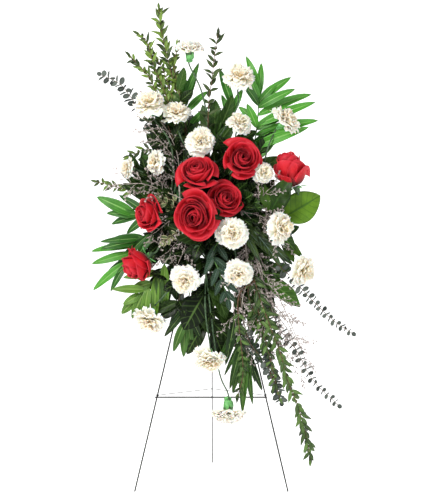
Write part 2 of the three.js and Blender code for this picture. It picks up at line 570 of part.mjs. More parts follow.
const ROSE = {
  points: 15,
  petals: 3,
  radius: 52,
  seat: 9,
  height: 48,
  rings: [[9, 0, 0], [52, 18, 1], [36, 17, 0], [42, 38, 1], [24, 28, 0], [25, 49, 1]],
  heart: 38,
  flutter: 2.2,
  stem: 3.1,
  calyx: { points: 10, foot: -16, rings: [[6, -8, 6, -8], [9, -2, 21, -8], [9, 0, 9, 0]] },
};

// Groups of bloom stems. A stem after the first one branches from it, at this share of its length.
const STEM_GROUPS = [
  { node: "bloom_stems_upper", start: [212, 195, 70], blooms: [[CARNATIONS[0], CARNATION],
    [CARNATIONS[1], CARNATION, 0.3], [CARNATIONS[3], CARNATION, 0.24], [CARNATIONS[4], CARNATION, 0.16],
    [CARNATIONS[5], CARNATION, 0.2]] },
  { node: "bloom_stems_left", start: [178, 208, 78], blooms: [[ROSES[5], ROSE], [ROSES[6], ROSE, 0.5],
    [CARNATIONS[2], CARNATION, 0.42], [CARNATIONS[7], CARNATION, 0.54], [CARNATIONS[8], CARNATION, 0.48]] },
  { node: "bloom_stems_right", start: [246, 206, 80], blooms: [[ROSES[4], ROSE],
    [CARNATIONS[6], CARNATION, 0.24], [CARNATIONS[9], CARNATION, 0.3], [CARNATIONS[11], CARNATION, 0.2],
    [CARNATIONS[13], CARNATION, 0.26]] },
  { node: "bloom_stems_middle", start: [212, 207, 84], blooms: [[ROSES[2], ROSE], [ROSES[0], ROSE, 0.42],
    [ROSES[1], ROSE, 0.34], [ROSES[3], ROSE, 0.5], [CARNATIONS[10], CARNATION, 0.58]] },
  { node: "bloom_stems_lower", start: [210, 220, 88], blooms: [[CARNATIONS[16], CARNATION],
    [CARNATIONS[12], CARNATION, 0.22], [CARNATIONS[14], CARNATION, 0.28], [CARNATIONS[15], CARNATION, 0.2],
    [CARNATIONS[17], CARNATION, 0.4]] },
];

function bloomFrame(bloom, kind) {
  const turn = THREE.MathUtils.degToRad(bloom.turn);
  const rise = THREE.MathUtils.degToRad(bloom.rise);
  const up = new THREE.Vector3(
    Math.sin(turn) * Math.cos(rise), -Math.cos(turn) * Math.cos(rise), Math.sin(rise));
  const right = new THREE.Vector3(0, 0, 1).cross(up).normalize();
  const ahead = up.clone().cross(right);
  const tall = bloom.open === undefined ? 1 : 1.35 - 0.35 * bloom.open;
  const foot = spot(bloom.at).addScaledVector(up, -kind.height * bloom.size * tall * 0.5);
  return new THREE.Matrix4().makeBasis(right, ahead, up).setPosition(foot);
}

function bloomSolid(bloom, kind, seed) {
  const open = bloom.open ?? 1;
  const narrow = 0.4 + 0.6 * open;
  const tall = 1.35 - 0.35 * open;
  const rings = kind.rings.map(([radius, height, rim], level) => {
    const ring = [];
    for (let i = 0; i < kind.points; i += 1) {
      const angle = (i / kind.points) * 2 * Math.PI + level * 0.11;
      const seat = radius <= kind.seat && !rim;
      const between = rim && (i + Math.ceil(level / 2)) % kind.petals === 0;
      const sway = 1 + 0.1 * (draw(i + level * 31, seed) - 0.5);
      const reach = radius * (seat ? 1 : narrow * sway * (between ? 0.8 : 1.02));
      const wave = rim ? kind.flutter * 2 * (draw(i + level * 17, seed + 5) - 0.5) - (between ? 2 : 0) : 0;
      ring.push(new THREE.Vector3(
        bloom.size * reach * Math.cos(angle), bloom.size * reach * Math.sin(angle),
        bloom.size * (height * tall + wave)));
    }
    return ring;
  });
  const heart = new THREE.Vector3(0, 0, kind.heart * bloom.size * tall);
  return ringSolid(new THREE.Vector3(0, 0, 0), rings, heart).transform(bloomFrame(bloom, kind).elements);
}

// A plain dome that holds the whole head, for clearing leaves away from it.
function bloomRoom(bloom, kind) {
  const open = bloom.open ?? 1;
  const reach = kind.radius * (0.4 + 0.6 * open) * 1.13 + 1;
  const top = (kind.height * 1.1 + 1) * (1.35 - 0.35 * open);
  const sides = 10;
  const rings = [[kind.seat * 1.06, -CUT / bloom.size], [reach, top * 0.26], [reach, top * 0.5],
    [reach * 0.66, top]].map(([radius, height]) => {
    const ring = [];
    for (let i = 0; i < sides; i += 1) {
      const angle = (i / sides) * 2 * Math.PI;
      ring.push(new THREE.Vector3(radius * Math.cos(angle), radius * Math.sin(angle), height)
        .multiplyScalar(bloom.size));
    }
    return ring;
  });
  const foot = new THREE.Vector3(0, 0, -CUT);
  const head = new THREE.Vector3(0, 0, top * bloom.size);
  return ringSolid(foot, rings, head).transform(bloomFrame(bloom, kind).elements);
}

function cupSolid(bloom, kind, grow) {
  const { points, foot, rings } = kind.calyx;
  const skin = rings.map(([radius, height, tipRadius, tipHeight]) => {
    const ring = [];
    for (let i = 0; i < points; i += 1) {
      const angle = (i / points) * 2 * Math.PI;
      const [r, z] = i % 2 ? [tipRadius, tipHeight] : [radius, height];
      const reach = r * bloom.size + grow;
      ring.push(new THREE.Vector3(
        reach * Math.cos(angle), reach * Math.sin(angle), z === 0 ? -CLEAR : z * bloom.size - grow));
    }
    return ring;
  });
  const start = new THREE.Vector3(0, 0, foot * bloom.size - grow);
  return ringSolid(start, skin, new THREE.Vector3(0, 0, -CLEAR)).transform(bloomFrame(bloom, kind).elements);
}

const STEM_SIDES = 3;
const STEM_STEPS = 5;

// The stems of a group: the first one stands in the foam, and the others branch from it.
function groupStalks(group) {
  const made = [];
  for (const [bloom, kind, share] of group.blooms) {
    const frame = bloomFrame(bloom, kind);
    const under = (depth) => new THREE.Vector3(0, 0, -depth * bloom.size).applyMatrix4(frame);
    const foot = made.length ? made[0].stalk.point(share) : spot(group.start);
    const stalkPlaces = bloom.stalk ? [spot(bloom.stalk)] : [];
    const route = routeOf([foot, ...stalkPlaces, under(34), under(10)]);
    made.push({ bloom, kind, route, stalk: new Stalk(route, STEM_STEPS) });
  }
  return made;
}

// The easel

function legEnds() {
  const half = EASEL.footSpread / 2;
  const top = EASEL.apexHeight - EASEL.wire - CLEAR - 0.6;
  return [-1, 1].map((hand) => ({
    foot: new THREE.Vector3(hand * half, -EASEL.frontReach, 0),
    top: new THREE.Vector3(hand * EASEL.legGap, 0, top),
  }));
}

// A straight wire whose lower end is cut level with the ground.
function groundedRod(foot, top, radius, sides) {
  const below = foot.clone().addScaledVector(top.clone().sub(foot).normalize(), -10);
  const wire = rod([below, top], radius, sides, 1);
  const ground = block(40, 40, 20, new THREE.Vector3(foot.x, foot.y, -10));
  return wire.subtract(ground);
}

const legs = legEnds();
const lean = Math.atan2(EASEL.frontReach, legs[0].top.z);
const apex = new THREE.Vector3(0, 0, EASEL.apexHeight);
const onLegs = new THREE.Matrix4().makeRotationX(-lean).setPosition(0, 0, legs[0].top.z);

function easelPieces() {
  const [left, right] = legs;
  const pin = rod([new THREE.Vector3(-EASEL.pinHalf, 0, apex.z), new THREE.Vector3(EASEL.pinHalf, 0, apex.z)],
    EASEL.wire, 12, 1);
  const eye = new THREE.TorusGeometry(EASEL.eyeRadius, EASEL.eyeWire, 6, 10);
  eye.rotateY(Math.PI / 2);
  eye.translate(0, 0, apex.z);
  const backFoot = new THREE.Vector3(0, EASEL.backReach, 0);
  const backWay = backFoot.clone().sub(apex).normalize();
  const backTop = apex.clone().addScaledVector(backWay, EASEL.eyeRadius + 0.4);
  const backLeg = fuse([groundedRod(backFoot, backTop, EASEL.eyeWire, 8), solidOf(eye)]);
  const share = EASEL.barHeight / left.top.z;
  const barY = -EASEL.frontReach * (1 - share) - (2 * EASEL.wire + CLEAR) / Math.cos(lean);
  const bar = rod([new THREE.Vector3(EASEL.barLeft, barY, EASEL.barHeight),
    new THREE.Vector3(EASEL.barRight, barY, EASEL.barHeight)], EASEL.wire, 8, 1);
  const height = EASEL.barHeight + 5;
  const legAt = right.foot.clone().lerp(right.top, height / right.top.z);
  const inside = EASEL.wire + EASEL.spreaderWire + CLEAR;
  const backAt = apex.clone().addScaledVector(backWay, (apex.z - height + EASEL.spreaderDip) / -backWay.z);
  const behind = backAt.y + EASEL.eyeWire + EASEL.spreaderWire + CLEAR + 0.4;
  const low = height - EASEL.spreaderDip;
  const spreader = bentWire([
    new THREE.Vector3(inside - legAt.x, legAt.y, height),
    new THREE.Vector3(-EASEL.turnHalf, behind, low),
    new THREE.Vector3(EASEL.turnHalf, behind, low),
    new THREE.Vector3(legAt.x - inside, legAt.y, height),
  ], EASEL.spreaderWire, 6);
  return [
    ["easel_leg_left", groundedRod(left.foot, left.top, EASEL.wire, 8)],
    ["easel_leg_right", groundedRod(right.foot, right.top, EASEL.wire, 8)],
    ["easel_leg_back", backLeg],
    ["easel_crossbar", bar],
    ["easel_spreader", spreader],
    ["easel_hinge_pin", pin],
  ];
}

// The holder, worked out in the plane of the front legs: y runs back, z runs up the legs.

function tieSolids(grow) {
  const back = EASEL.wire + HOLDER.tieWire + CLEAR;
  const front = -(EASEL.wire + HOLDER.wall + HOLDER.tieWire + 2.5 * CLEAR);
  const share = HOLDER.tieDrop / legs[0].foot.distanceTo(legs[0].top);
  const legX = EASEL.legGap + (EASEL.footSpread / 2 - EASEL.legGap) * share;
  return [-1, 1].map((hand) => {
    const radius = HOLDER.tieWire * Math.SQRT2 + grow * 2;
    const ringSize = HOLDER.tieHalf * Math.SQRT2;
    const ring = new THREE.TorusGeometry(ringSize, radius, 4, 4);
    ring.rotateZ(Math.PI / 4);
    const places = ring.attributes.position;
    for (let i = 0; i < places.count; i += 1) {
      const [x, y, z] = [places.getX(i), places.getY(i), places.getZ(i)];
      const outY = y - Math.sign(y) * HOLDER.tieHalf;
      places.setXYZ(i, hand * legX + x, (y > 0 ? back : front) + outY, z - HOLDER.tieDrop);
    }
    return solidOf(ring).transform(onLegs.elements);
  });
}

function holderPieces(stemRoom) {
  const plateFront = -(EASEL.wire + CLEAR + HOLDER.wall);
  const foamY = plateFront - CLEAR - HOLDER.depth / 2;
  const foam = block(HOLDER.width, HOLDER.depth, HOLDER.height, new THREE.Vector3(0, foamY, -HOLDER.drop));
  const outer = HOLDER.wall + CLEAR;
  const tray = block(HOLDER.width + 2 * outer, HOLDER.rim + HOLDER.wall, HOLDER.height + 2 * outer,
    new THREE.Vector3(0, plateFront + HOLDER.wall / 2 - HOLDER.rim / 2, -HOLDER.drop));
  const hollow = block(HOLDER.width + 2 * CLEAR, HOLDER.rim + 10, HOLDER.height + 2 * CLEAR,
    new THREE.Vector3(0, plateFront - (HOLDER.rim + 10) / 2, -HOLDER.drop));
  const shell = tray.subtract(hollow).transform(onLegs.elements);
  const ties = tieSolids(0);
  const tieRoom = fuse(tieSolids(CUT));
  return [
    ["foam_block", foam.transform(onLegs.elements).subtract(stemRoom).subtract(tieRoom)],
    ["holder_tray", shell.subtract(tieRoom)],
    ["tie_wire_left", ties[0]],
    ["tie_wire_right", ties[1]],
  ];
}

// Assembly

const TONES = {
  wire: { color: 0x18181a, roughness: 0.5, metalness: 0.4 },
  foam: { color: 0x2f5a34, roughness: 0.95, metalness: 0 },
  tray: { color: 0x1f3a26, roughness: 0.5, metalness: 0 },
  rose: { color: 0xb01020, roughness: 0.6, metalness: 0 },
  carnation: { color: 0xf4f0e2, roughness: 0.75, metalness: 0 },
  stem: { color: 0x4d7a45, roughness: 0.6, metalness: 0 },
  palmBright: { color: 0x3fa03a, roughness: 0.5, metalness: 0 },
  palmYellow: { color: 0x8fb23c, roughness: 0.5, metalness: 0 },
  palmDark: { color: 0x1f4a2c, roughness: 0.5, metalness: 0 },
  fern: { color: 0x1d463a, roughness: 0.6, metalness: 0 },
  salalDark: { color: 0x24502a, roughness: 0.4, metalness: 0 },
  salalLight: { color: 0x5f9a4a, roughness: 0.4, metalness: 0 },
  salalBright: { color: 0x4d9a3c, roughness: 0.4, metalness: 0 },
  myrtleYellow: { color: 0x6f9a35, roughness: 0.5, metalness: 0 },
  myrtleGreen: { color: 0x357a35, roughness: 0.5, metalness: 0 },
  myrtleDark: { color: 0x23502c, roughness: 0.5, metalness: 0 },
  eucalyptus: { color: 0x5f7d74, roughness: 0.7, metalness: 0 },
  limonium: { color: 0xcdb6b4, roughness: 0.8, metalness: 0 },
  pittosporum: { color: 0x8fa878, roughness: 0.6, metalness: 0 },
};

function greenSolid(plant, grow) {
  const solids = [];
  stalksOf(plant).forEach((made, number) => {
    const stem = plant.stems[number];
    const { style, stalk, route } = made;
    const radius = wider(style.stem, grow, style.sides);
    const leaves = (stem.leaves ?? []).map((leaf) => listedLeaf(made, leaf));
    solids.push(wireAlong(route, radius, style.sides, stalk.steps));
    if (stem.pairs) leaves.push(...pairedLeaves(made, stem));
    if (stem.twigs) {
      for (const twig of floretTwigs(made, stem)) solids.push(twigSolid(style, twig, grow));
    }
    for (const leaf of leaves) solids.push(leafSolid(leaf, grow));
  });
  return fuse(solids);
}

// The hole that a stem stands in: a straight stretch from its foot to outside the foam.
function holeFor(stalk, radius, sides) {
  const foot = stalk.point(0);
  const way = stalk.point(1 / stalk.steps).sub(foot).setLength(HOLDER.holeReach);
  const back = foot.clone().addScaledVector(way, -CUT / HOLDER.holeReach);
  return rod([back, foot.clone().add(way)], wider(radius, CUT * 2, sides), sides, 1);
}

function touches(a, b) {
  const [p, q] = [a.boundingBox(), b.boundingBox()];
  return [0, 1, 2].every((k) => p.min[k] <= q.max[k] && q.min[k] <= p.max[k]);
}

function largest(solid) {
  return solid.decompose().reduce((best, next) => (next.volume() > best.volume() ? next : best));
}

// Every piece gives way to the ones before it: it is cut back where it would cross them.
const placed = [];
const rooms = [];

function place(name, tone, solid, room, frame) {
  let kept = solid;
  for (const other of rooms) {
    if (other.name !== name && touches(kept, other.room)) kept = kept.subtract(other.room);
  }
  placed.push({ name, tone, solid: largest(kept), frame });
  if (room) rooms.push({ name, room });
}

function stemsSolid(group, grow) {
  return fuse(groupStalks(group).flatMap(({ bloom, kind, route }) => [
    wireAlong(route, wider(kind.stem, grow, STEM_SIDES), STEM_SIDES, STEM_STEPS),
    cupSolid(bloom, kind, grow),
  ]));
}

function buildAll() {
  const stemRooms = STEM_GROUPS.map((group) => stemsSolid(group, CUT));
  const greenRooms = GREENERY.map((plant) => fuse([greenSolid(plant, CUT), greenSolid(plant, 0)]));
  for (const [name, solid] of easelPieces()) place(name, "wire", solid, null);
  STEM_GROUPS.forEach((group, i) => {
    place(group.node, "stem", stemsSolid(group, 0), stemRooms[i]);
  });
  ROSES.forEach((bloom, i) => {
    place(`rose_head_${i + 1}`, "rose", bloomSolid(bloom, ROSE, i + 1), bloomRoom(bloom, ROSE),
      bloomFrame(bloom, ROSE));
  });
  CARNATIONS.forEach((bloom, i) => {
    place(`carnation_head_${i + 1}`, "carnation", bloomSolid(bloom, CARNATION, i + 40),
      bloomRoom(bloom, CARNATION), bloomFrame(bloom, CARNATION));
  });
  GREENERY.forEach((plant, i) => place(plant.node, plant.tone, greenSolid(plant, 0), greenRooms[i]));
  const holes = fuse([
    ...STEM_GROUPS.map((group) => {
      const [first] = groupStalks(group);
      return holeFor(first.stalk, first.kind.stem, STEM_SIDES);
    }),
    ...GREENERY.map((plant) => {
      const [first] = stalksOf(plant);
      return holeFor(first.stalk, first.style.stem, first.style.sides);
    }),
  ]);
  for (const [name, solid] of holderPieces(holes)) {
    const tone = name === "foam_block" ? "foam" : name === "holder_tray" ? "tray" : "wire";
    place(name, tone, solid, null);
  }
}

buildAll();

const spray = new THREE.Group();
for (const piece of placed) {
  const geometry = geometryOf(piece.solid);
  const mesh = new THREE.Mesh(geometry, new THREE.MeshStandardMaterial(TONES[piece.tone]));
  mesh.name = piece.name;
  if (piece.frame) {
    geometry.applyMatrix4(piece.frame.clone().invert());
    piece.frame.decompose(mesh.position, mesh.quaternion, mesh.scale);
  }
  spray.add(mesh);
}

// The origin goes under the middle of the whole piece.
spray.updateMatrixWorld(true);
const bounds = new THREE.Box3().setFromObject(spray, true);
const middle = bounds.getCenter(new THREE.Vector3());
spray.position.set(-middle.x, -middle.y, -bounds.min.z);

export default spray;
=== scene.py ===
# A standing spray of red roses, white carnations and mixed greenery on a folding wire easel.
# Metres, +Z up, the front faces -Y. Tables of places are picture points with how far each place
# stands ahead of the easel's pin, in millimetres, as the arrangement is laid out from the front.
import json
import math

import bmesh
import bpy
import numpy as np
from mathutils import Matrix, Vector

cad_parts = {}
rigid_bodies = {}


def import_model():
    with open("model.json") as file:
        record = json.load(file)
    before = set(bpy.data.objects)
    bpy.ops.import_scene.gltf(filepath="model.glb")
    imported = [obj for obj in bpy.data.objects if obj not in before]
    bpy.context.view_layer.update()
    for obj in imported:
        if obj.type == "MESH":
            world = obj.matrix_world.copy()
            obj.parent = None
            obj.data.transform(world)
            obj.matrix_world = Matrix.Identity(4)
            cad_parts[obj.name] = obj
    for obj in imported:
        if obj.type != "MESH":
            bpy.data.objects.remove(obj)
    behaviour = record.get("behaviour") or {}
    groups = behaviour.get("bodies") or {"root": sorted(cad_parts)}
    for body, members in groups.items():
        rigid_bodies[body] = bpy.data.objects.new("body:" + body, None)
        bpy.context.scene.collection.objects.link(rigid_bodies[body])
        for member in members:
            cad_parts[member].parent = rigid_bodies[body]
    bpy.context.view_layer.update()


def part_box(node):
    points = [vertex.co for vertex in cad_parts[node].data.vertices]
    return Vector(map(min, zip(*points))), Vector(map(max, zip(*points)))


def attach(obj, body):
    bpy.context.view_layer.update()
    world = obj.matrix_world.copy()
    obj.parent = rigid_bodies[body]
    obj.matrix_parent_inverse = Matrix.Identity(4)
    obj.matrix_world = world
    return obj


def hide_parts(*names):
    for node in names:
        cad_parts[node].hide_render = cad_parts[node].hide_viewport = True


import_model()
scene = bpy.context.scene

milli = 0.001
viewPlan = {
    "eye": (0.0306, -3.770, 0.909), "tilt": 3.9, "focal": 1333.0, "width": 445, "height": 500,
    "sensor": 24.0, "far": 60.0,
}
pinLow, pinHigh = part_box("easel_hinge_pin")
pinPlace = (pinLow + pinHigh) / 2
shift = Vector((pinPlace.x, pinPlace.y, 0))
eyePlace = Vector(viewPlan["eye"]) + shift


def spot(px, py, forward):
    tilt = math.radians(viewPlan["tilt"])
    right = (px - viewPlan["width"] / 2) / viewPlan["focal"]
    rise = (viewPlan["height"] / 2 - py) / viewPlan["focal"]
    ray = Vector((right, math.cos(tilt) + rise * math.sin(tilt), rise * math.cos(tilt) - math.sin(tilt)))
    return eyePlace + ray * ((shift.y - forward * milli - eyePlace.y) / ray.y)


def draw(index, seed):  # a number from 0 to 1, always the same for a place in a list
    wave = math.sin(index * 12.9898 + seed * 78.233) * 43758.5453
    return wave - math.floor(wave)


def unit(vector):
    return vector / max(vector.length, 1e-9)


def drawn(pair, index, seed):  # a pair is the least value and the most that a draw adds
    return pair[0] + pair[1] * draw(index, seed)


def swung(first, second, angle):  # a way turned from the first towards the second
    return first * math.cos(angle) + second * math.sin(angle)


def rising(values, start, end=1.0):  # from 0 at the start to 1 at the end
    return np.clip((values - start) / (end - start), 0, 1)


def filled(common, plans):  # plans that name only what differs from the common values
    return {name: {**common, **plan} for name, plan in plans.items()}


def placed(name, data, group=scene.collection):
    made = bpy.data.objects.new(name, data)
    group.objects.link(made)
    return made


def setPoints(mesh, name, kind, values):
    field = "vector" if kind == "FLOAT_VECTOR" else "value"
    mesh.attributes.new(name, kind, "POINT").data.foreach_set(field, np.asarray(values).ravel())


# The camera comes first, because every place below is written as it is seen from there.
def addCamera():
    data = bpy.data.cameras.new("viewer")
    data.sensor_fit = "VERTICAL"
    data.sensor_height = viewPlan["sensor"]
    data.lens = viewPlan["focal"] / viewPlan["height"] * data.sensor_height
    data.clip_end = viewPlan["far"]
    camera = placed("viewer", data)
    camera.location = eyePlace
    camera.rotation_euler = (math.radians(90 - viewPlan["tilt"]), 0, 0)
    scene.camera = camera


addCamera()
print("stage: camera")


# Shader maths: sums on sockets are written as plain expressions.
class Maths:
    def __init__(self, finish, socket):
        self.finish = finish
        self.socket = socket

    def sum(self, operation, first, second=0.0):
        return self.finish.node("ShaderNodeMath", {"operation": operation}, {0: first, 1: second})

    def __add__(self, other):
        return self.sum("ADD", self, other)

    def __sub__(self, other):
        return self.sum("SUBTRACT", self, other)

    def __rsub__(self, other):
        return self.sum("SUBTRACT", other, self)

    def __mul__(self, other):
        return self.sum("MULTIPLY", self, other)

    def __abs__(self):
        return self.sum("ABSOLUTE", self)

    __radd__ = __add__
    __rmul__ = __mul__

    def part(self):
        return self.sum("FRACT", self)

    def between(self, low, high):  # 0 below low, 1 above high, smooth in between
        values = {0: self, 1: low, 2: high}
        return self.finish.node("ShaderNodeMapRange", {"interpolation_type": "SMOOTHSTEP"}, values)


class Finish:  # one material: its constant sockets, and the nodes that vary over the surface
    def __init__(self, name, **constants):
        self.material = bpy.data.materials.new(name)
        self.material.use_nodes = True
        self.tree = self.material.node_tree
        self.tree.nodes.clear()
        self.shader = self.tree.nodes.new("ShaderNodeBsdfPrincipled")
        output = self.tree.nodes.new("ShaderNodeOutputMaterial")
        self.tree.links.new(self.shader.outputs[0], output.inputs[0])
        for socket, value in constants.items():
            self.shader.inputs[socket.replace("_", " ")].default_value = value

    def node(self, kind, settings=None, values=None, out=0):
        made = self.tree.nodes.new(kind)
        for key, value in (settings or {}).items():
            setattr(made, key, value)
        for key, value in (values or {}).items():
            self.feed(made.inputs[key], value)
        return Maths(self, made.outputs[out])

    def feed(self, socket, value):
        if isinstance(value, Maths):
            self.tree.links.new(value.socket, socket)
        elif socket.type == "RGBA" and len(value) == 3:
            socket.default_value = (*value, 1)
        else:
            socket.default_value = value

    def sets(self, socket, value):
        self.feed(self.shader.inputs[socket], value)

    def mix(self, first, second, factor):
        return self.node("ShaderNodeMix", {"data_type": "RGBA"}, {0: factor, 6: first, 7: second}, out=2)

    def noise(self, scale, detail=3.0, roughness=0.55):
        coords = self.node("ShaderNodeTexCoord", out=3)
        values = {"Vector": coords, "Scale": scale, "Detail": detail, "Roughness": roughness}
        return self.node("ShaderNodeTexNoise", None, values)

    def attribute(self, name):
        return self.node("ShaderNodeAttribute", {"attribute_name": name}, out=2)

    def across(self):  # the piece's own u and v
        uv = self.node("ShaderNodeUVMap", {"uv_map": "UVMap"})
        u = self.node("ShaderNodeSeparateXYZ", None, {0: uv}, out=0)
        v = self.node("ShaderNodeSeparateXYZ", None, {0: uv}, out=1)
        return u, v

    def bump(self, height, distance, strength=1.0):
        values = {"Height": height, "Distance": distance, "Strength": strength}
        self.sets("Normal", self.node("ShaderNodeBump", None, values))


# Sheets: a grid of places becomes a thin closed solid with its own u and v.
def sheetPart(places, thickness, tint=None, heart=None):
    rows, columns = places.shape[:2]
    alongRows = np.gradient(places, axis=0)
    alongColumns = np.gradient(places, axis=1)
    normals = np.cross(alongColumns, alongRows)
    normals /= np.maximum(np.linalg.norm(normals, axis=2, keepdims=True), 1e-12)
    top = places + normals * thickness / 2
    bottom = places - normals * thickness / 2
    count = rows * columns
    index = np.arange(count).reshape(rows, columns)
    corners = [index[:-1, :-1], index[:-1, 1:], index[1:, 1:], index[1:, :-1]]
    quads = np.stack(corners, axis=-1).reshape(-1, 4)
    edge = np.concatenate([index[0, :], index[1:, -1], index[-1, -2::-1], index[-2:0:-1, 0]])
    after = np.roll(edge, -1)
    rim = np.stack([after, edge, edge + count, after + count], axis=-1)
    faces = np.concatenate([quads, quads[:, ::-1] + count, rim])
    v, u = np.mgrid[0:1:rows * 1j, 0:1:columns * 1j]
    uv = np.stack([u, v], axis=-1).reshape(-1, 2)
    vertices = np.concatenate([top.reshape(-1, 3), bottom.reshape(-1, 3)])
    return {"vertices": vertices, "faces": faces, "uv": np.tile(uv, (2, 1)), "tint": tint, "heart": heart}


def meshOf(name, parts):
    vertices = np.concatenate([part["vertices"] for part in parts])
    uv = np.concatenate([part["uv"] for part in parts])
    starts = np.cumsum([0] + [len(part["vertices"]) for part in parts[:-1]])
    faces = np.concatenate([part["faces"] + start for part, start in zip(parts, starts)])
    mesh = bpy.data.meshes.new(name)
    mesh.vertices.add(len(vertices))
    mesh.vertices.foreach_set("co", vertices.astype(np.float32).ravel())
    mesh.loops.add(faces.size)
    mesh.loops.foreach_set("vertex_index", faces.astype(np.int32).ravel())
    mesh.polygons.add(len(faces))
    mesh.polygons.foreach_set("loop_start", np.arange(0, faces.size, 4, dtype=np.int32))
    mesh.polygons.foreach_set("use_smooth", np.ones(len(faces), dtype=bool))
    mesh.update(calc_edges=True)
    layer = mesh.uv_layers.new(name="UVMap")
    layer.data.foreach_set("uv", uv[faces.ravel()].astype(np.float32).ravel())
    for key in ("tint", "heart") if parts[0]["tint"] is not None else ():
        values = np.concatenate([np.full(len(part["vertices"]), part[key]) for part in parts])
        setPoints(mesh, key, "FLOAT", values.astype(np.float32))
    mesh.validate()
    return mesh


# One tree grows every plant: pieces stand on points, and tubes follow the stems.
def growthTree():
    tree = bpy.data.node_groups.new("growth", "GeometryNodeTree")
    inputs = [("Points", "NodeSocketGeometry", None), ("Pieces", "NodeSocketCollection", None),
              ("Stems", "NodeSocketObject", None), ("Sides", "NodeSocketInt", 8),
              ("Wobble", "NodeSocketFloat", 0.0), ("Seed", "NodeSocketInt", 1),
              ("Piece Finish", "NodeSocketMaterial", None), ("Stem Finish", "NodeSocketMaterial", None)]
    for name, kind, default in inputs:
        socket = tree.interface.new_socket(name=name, in_out="INPUT", socket_type=kind)
        if default is not None:
            socket.default_value = default
    tree.interface.new_socket(name="Result", in_out="OUTPUT", socket_type="NodeSocketGeometry")
    given = tree.nodes.new("NodeGroupInput")

    def add(kind, links, **settings):
        node = tree.nodes.new(kind)
        for key, value in settings.items():
            setattr(node, key, value)
        for key, value in links.items():
            if isinstance(value, bpy.types.NodeSocket):
                tree.links.new(value, node.inputs[key])
            else:
                node.inputs[key].default_value = value
        return node

    def named(attribute, kind):
        return add("GeometryNodeInputNamedAttribute", {"Name": attribute}, data_type=kind).outputs[0]

    turn = add("FunctionNodeEulerToRotation", {0: named("turn", "FLOAT_VECTOR")})
    low = add("ShaderNodeVectorMath", {0: (-1, -1, -1), 3: given.outputs["Wobble"]}, operation="SCALE")
    high = add("ShaderNodeVectorMath", {0: (1, 1, 1), 3: given.outputs["Wobble"]}, operation="SCALE")
    chance = add("FunctionNodeRandomValue", {0: low.outputs[0], 1: high.outputs[0],
                                             8: given.outputs["Seed"]}, data_type="FLOAT_VECTOR")
    wobble = add("FunctionNodeEulerToRotation", {0: chance.outputs[0]})
    turned = add("FunctionNodeRotateRotation", {0: turn.outputs[0], 1: wobble.outputs[0]},
                 rotation_space="LOCAL")
    pieces = add("GeometryNodeCollectionInfo", {0: given.outputs["Pieces"], 1: True, 2: True})
    stand = add("GeometryNodeInstanceOnPoints", {
        "Points": given.outputs["Points"], "Instance": pieces.outputs[0], "Pick Instance": True,
        "Instance Index": named("pick", "INT"), "Rotation": turned.outputs[0],
        "Scale": named("size", "FLOAT_VECTOR")})
    real = add("GeometryNodeRealizeInstances", {0: stand.outputs[0]})
    dressed = add("GeometryNodeSetMaterial", {0: real.outputs[0], 2: given.outputs["Piece Finish"]})
    stems = add("GeometryNodeObjectInfo", {0: given.outputs["Stems"]})
    curve = add("GeometryNodeMeshToCurve", {0: stems.outputs["Geometry"]})
    circle = add("GeometryNodeCurvePrimitiveCircle", {0: given.outputs["Sides"], 4: 1.0})
    tube = add("GeometryNodeCurveToMesh", {0: curve.outputs[0], 1: circle.outputs[0],
                                           2: named("thick", "FLOAT"), 3: True})
    smooth = add("GeometryNodeSetShadeSmooth", {0: tube.outputs[0], 2: True})
    skinned = add("GeometryNodeSetMaterial", {0: smooth.outputs[0], 2: given.outputs["Stem Finish"]})
    both = add("GeometryNodeJoinGeometry", {})
    tree.links.new(dressed.outputs[0], both.inputs[0])
    tree.links.new(skinned.outputs[0], both.inputs[0])
    result = tree.nodes.new("NodeGroupOutput")
    tree.links.new(both.outputs[0], result.inputs[0])
    return tree


growth = growthTree()
markKinds = {
    "turn": "FLOAT_VECTOR", "size": "FLOAT_VECTOR", "pick": "INT", "tint": "FLOAT", "heart": "FLOAT",
}


class Plant:  # what the tree needs: points with turns and sizes, and stems as runs of places
    def __init__(self):
        self.points, self.marks = [], []
        self.places, self.edges, self.thick = [], [], []

    def add(self, base, along, face, size, pick=0, tint=0.5, heart=0.0):
        along = unit(along)
        face = unit(face - along * face.dot(along))
        side = along.cross(face)
        turn = Matrix((side, along, face)).transposed().to_euler()
        self.points.append(base)
        self.marks.append((tuple(turn), size, pick, tint, heart))

    def run(self, places, radii):
        start = len(self.places)
        self.places.extend(places)
        self.edges.extend((start + i, start + i + 1) for i in range(len(places) - 1))
        self.thick.extend(radii)

    def grow(self, pieces, pieceFinish, stemFinish, sides=8, wobble=0.0, seed=1):
        mesh = bpy.data.meshes.new("points")
        mesh.from_pydata([tuple(point) for point in self.points], [], [])
        for (key, kind), values in zip(markKinds.items(), zip(*self.marks)):
            setPoints(mesh, key, kind, values)
        carrier = placed("points", mesh)
        stemMesh = bpy.data.meshes.new("stems")
        stemMesh.from_pydata([tuple(place) for place in self.places], self.edges, [])
        setPoints(stemMesh, "thick", "FLOAT", self.thick)
        stems = placed("stems", stemMesh)
        modifier = carrier.modifiers.new("growth", "NODES")
        modifier.node_group = growth
        values = {"Pieces": pieces, "Stems": stems, "Sides": sides, "Wobble": wobble, "Seed": seed,
                  "Piece Finish": finishes.get(pieceFinish), "Stem Finish": finishes.get(stemFinish)}
        for item in growth.interface.items_tree:
            if item.in_out == "INPUT" and values.get(item.name) is not None:
                modifier[item.identifier] = values[item.name]
        evaluated = carrier.evaluated_get(bpy.context.evaluated_depsgraph_get())
        result = bpy.data.meshes.new_from_object(evaluated)
        for made in (carrier, stems):
            bpy.data.objects.remove(made)
        return result


def collectionOf(name, meshes):
    group = bpy.data.collections.new(name)
    for number, mesh in enumerate(meshes):
        placed(f"{name}{number:02d}", mesh, group)
    return group


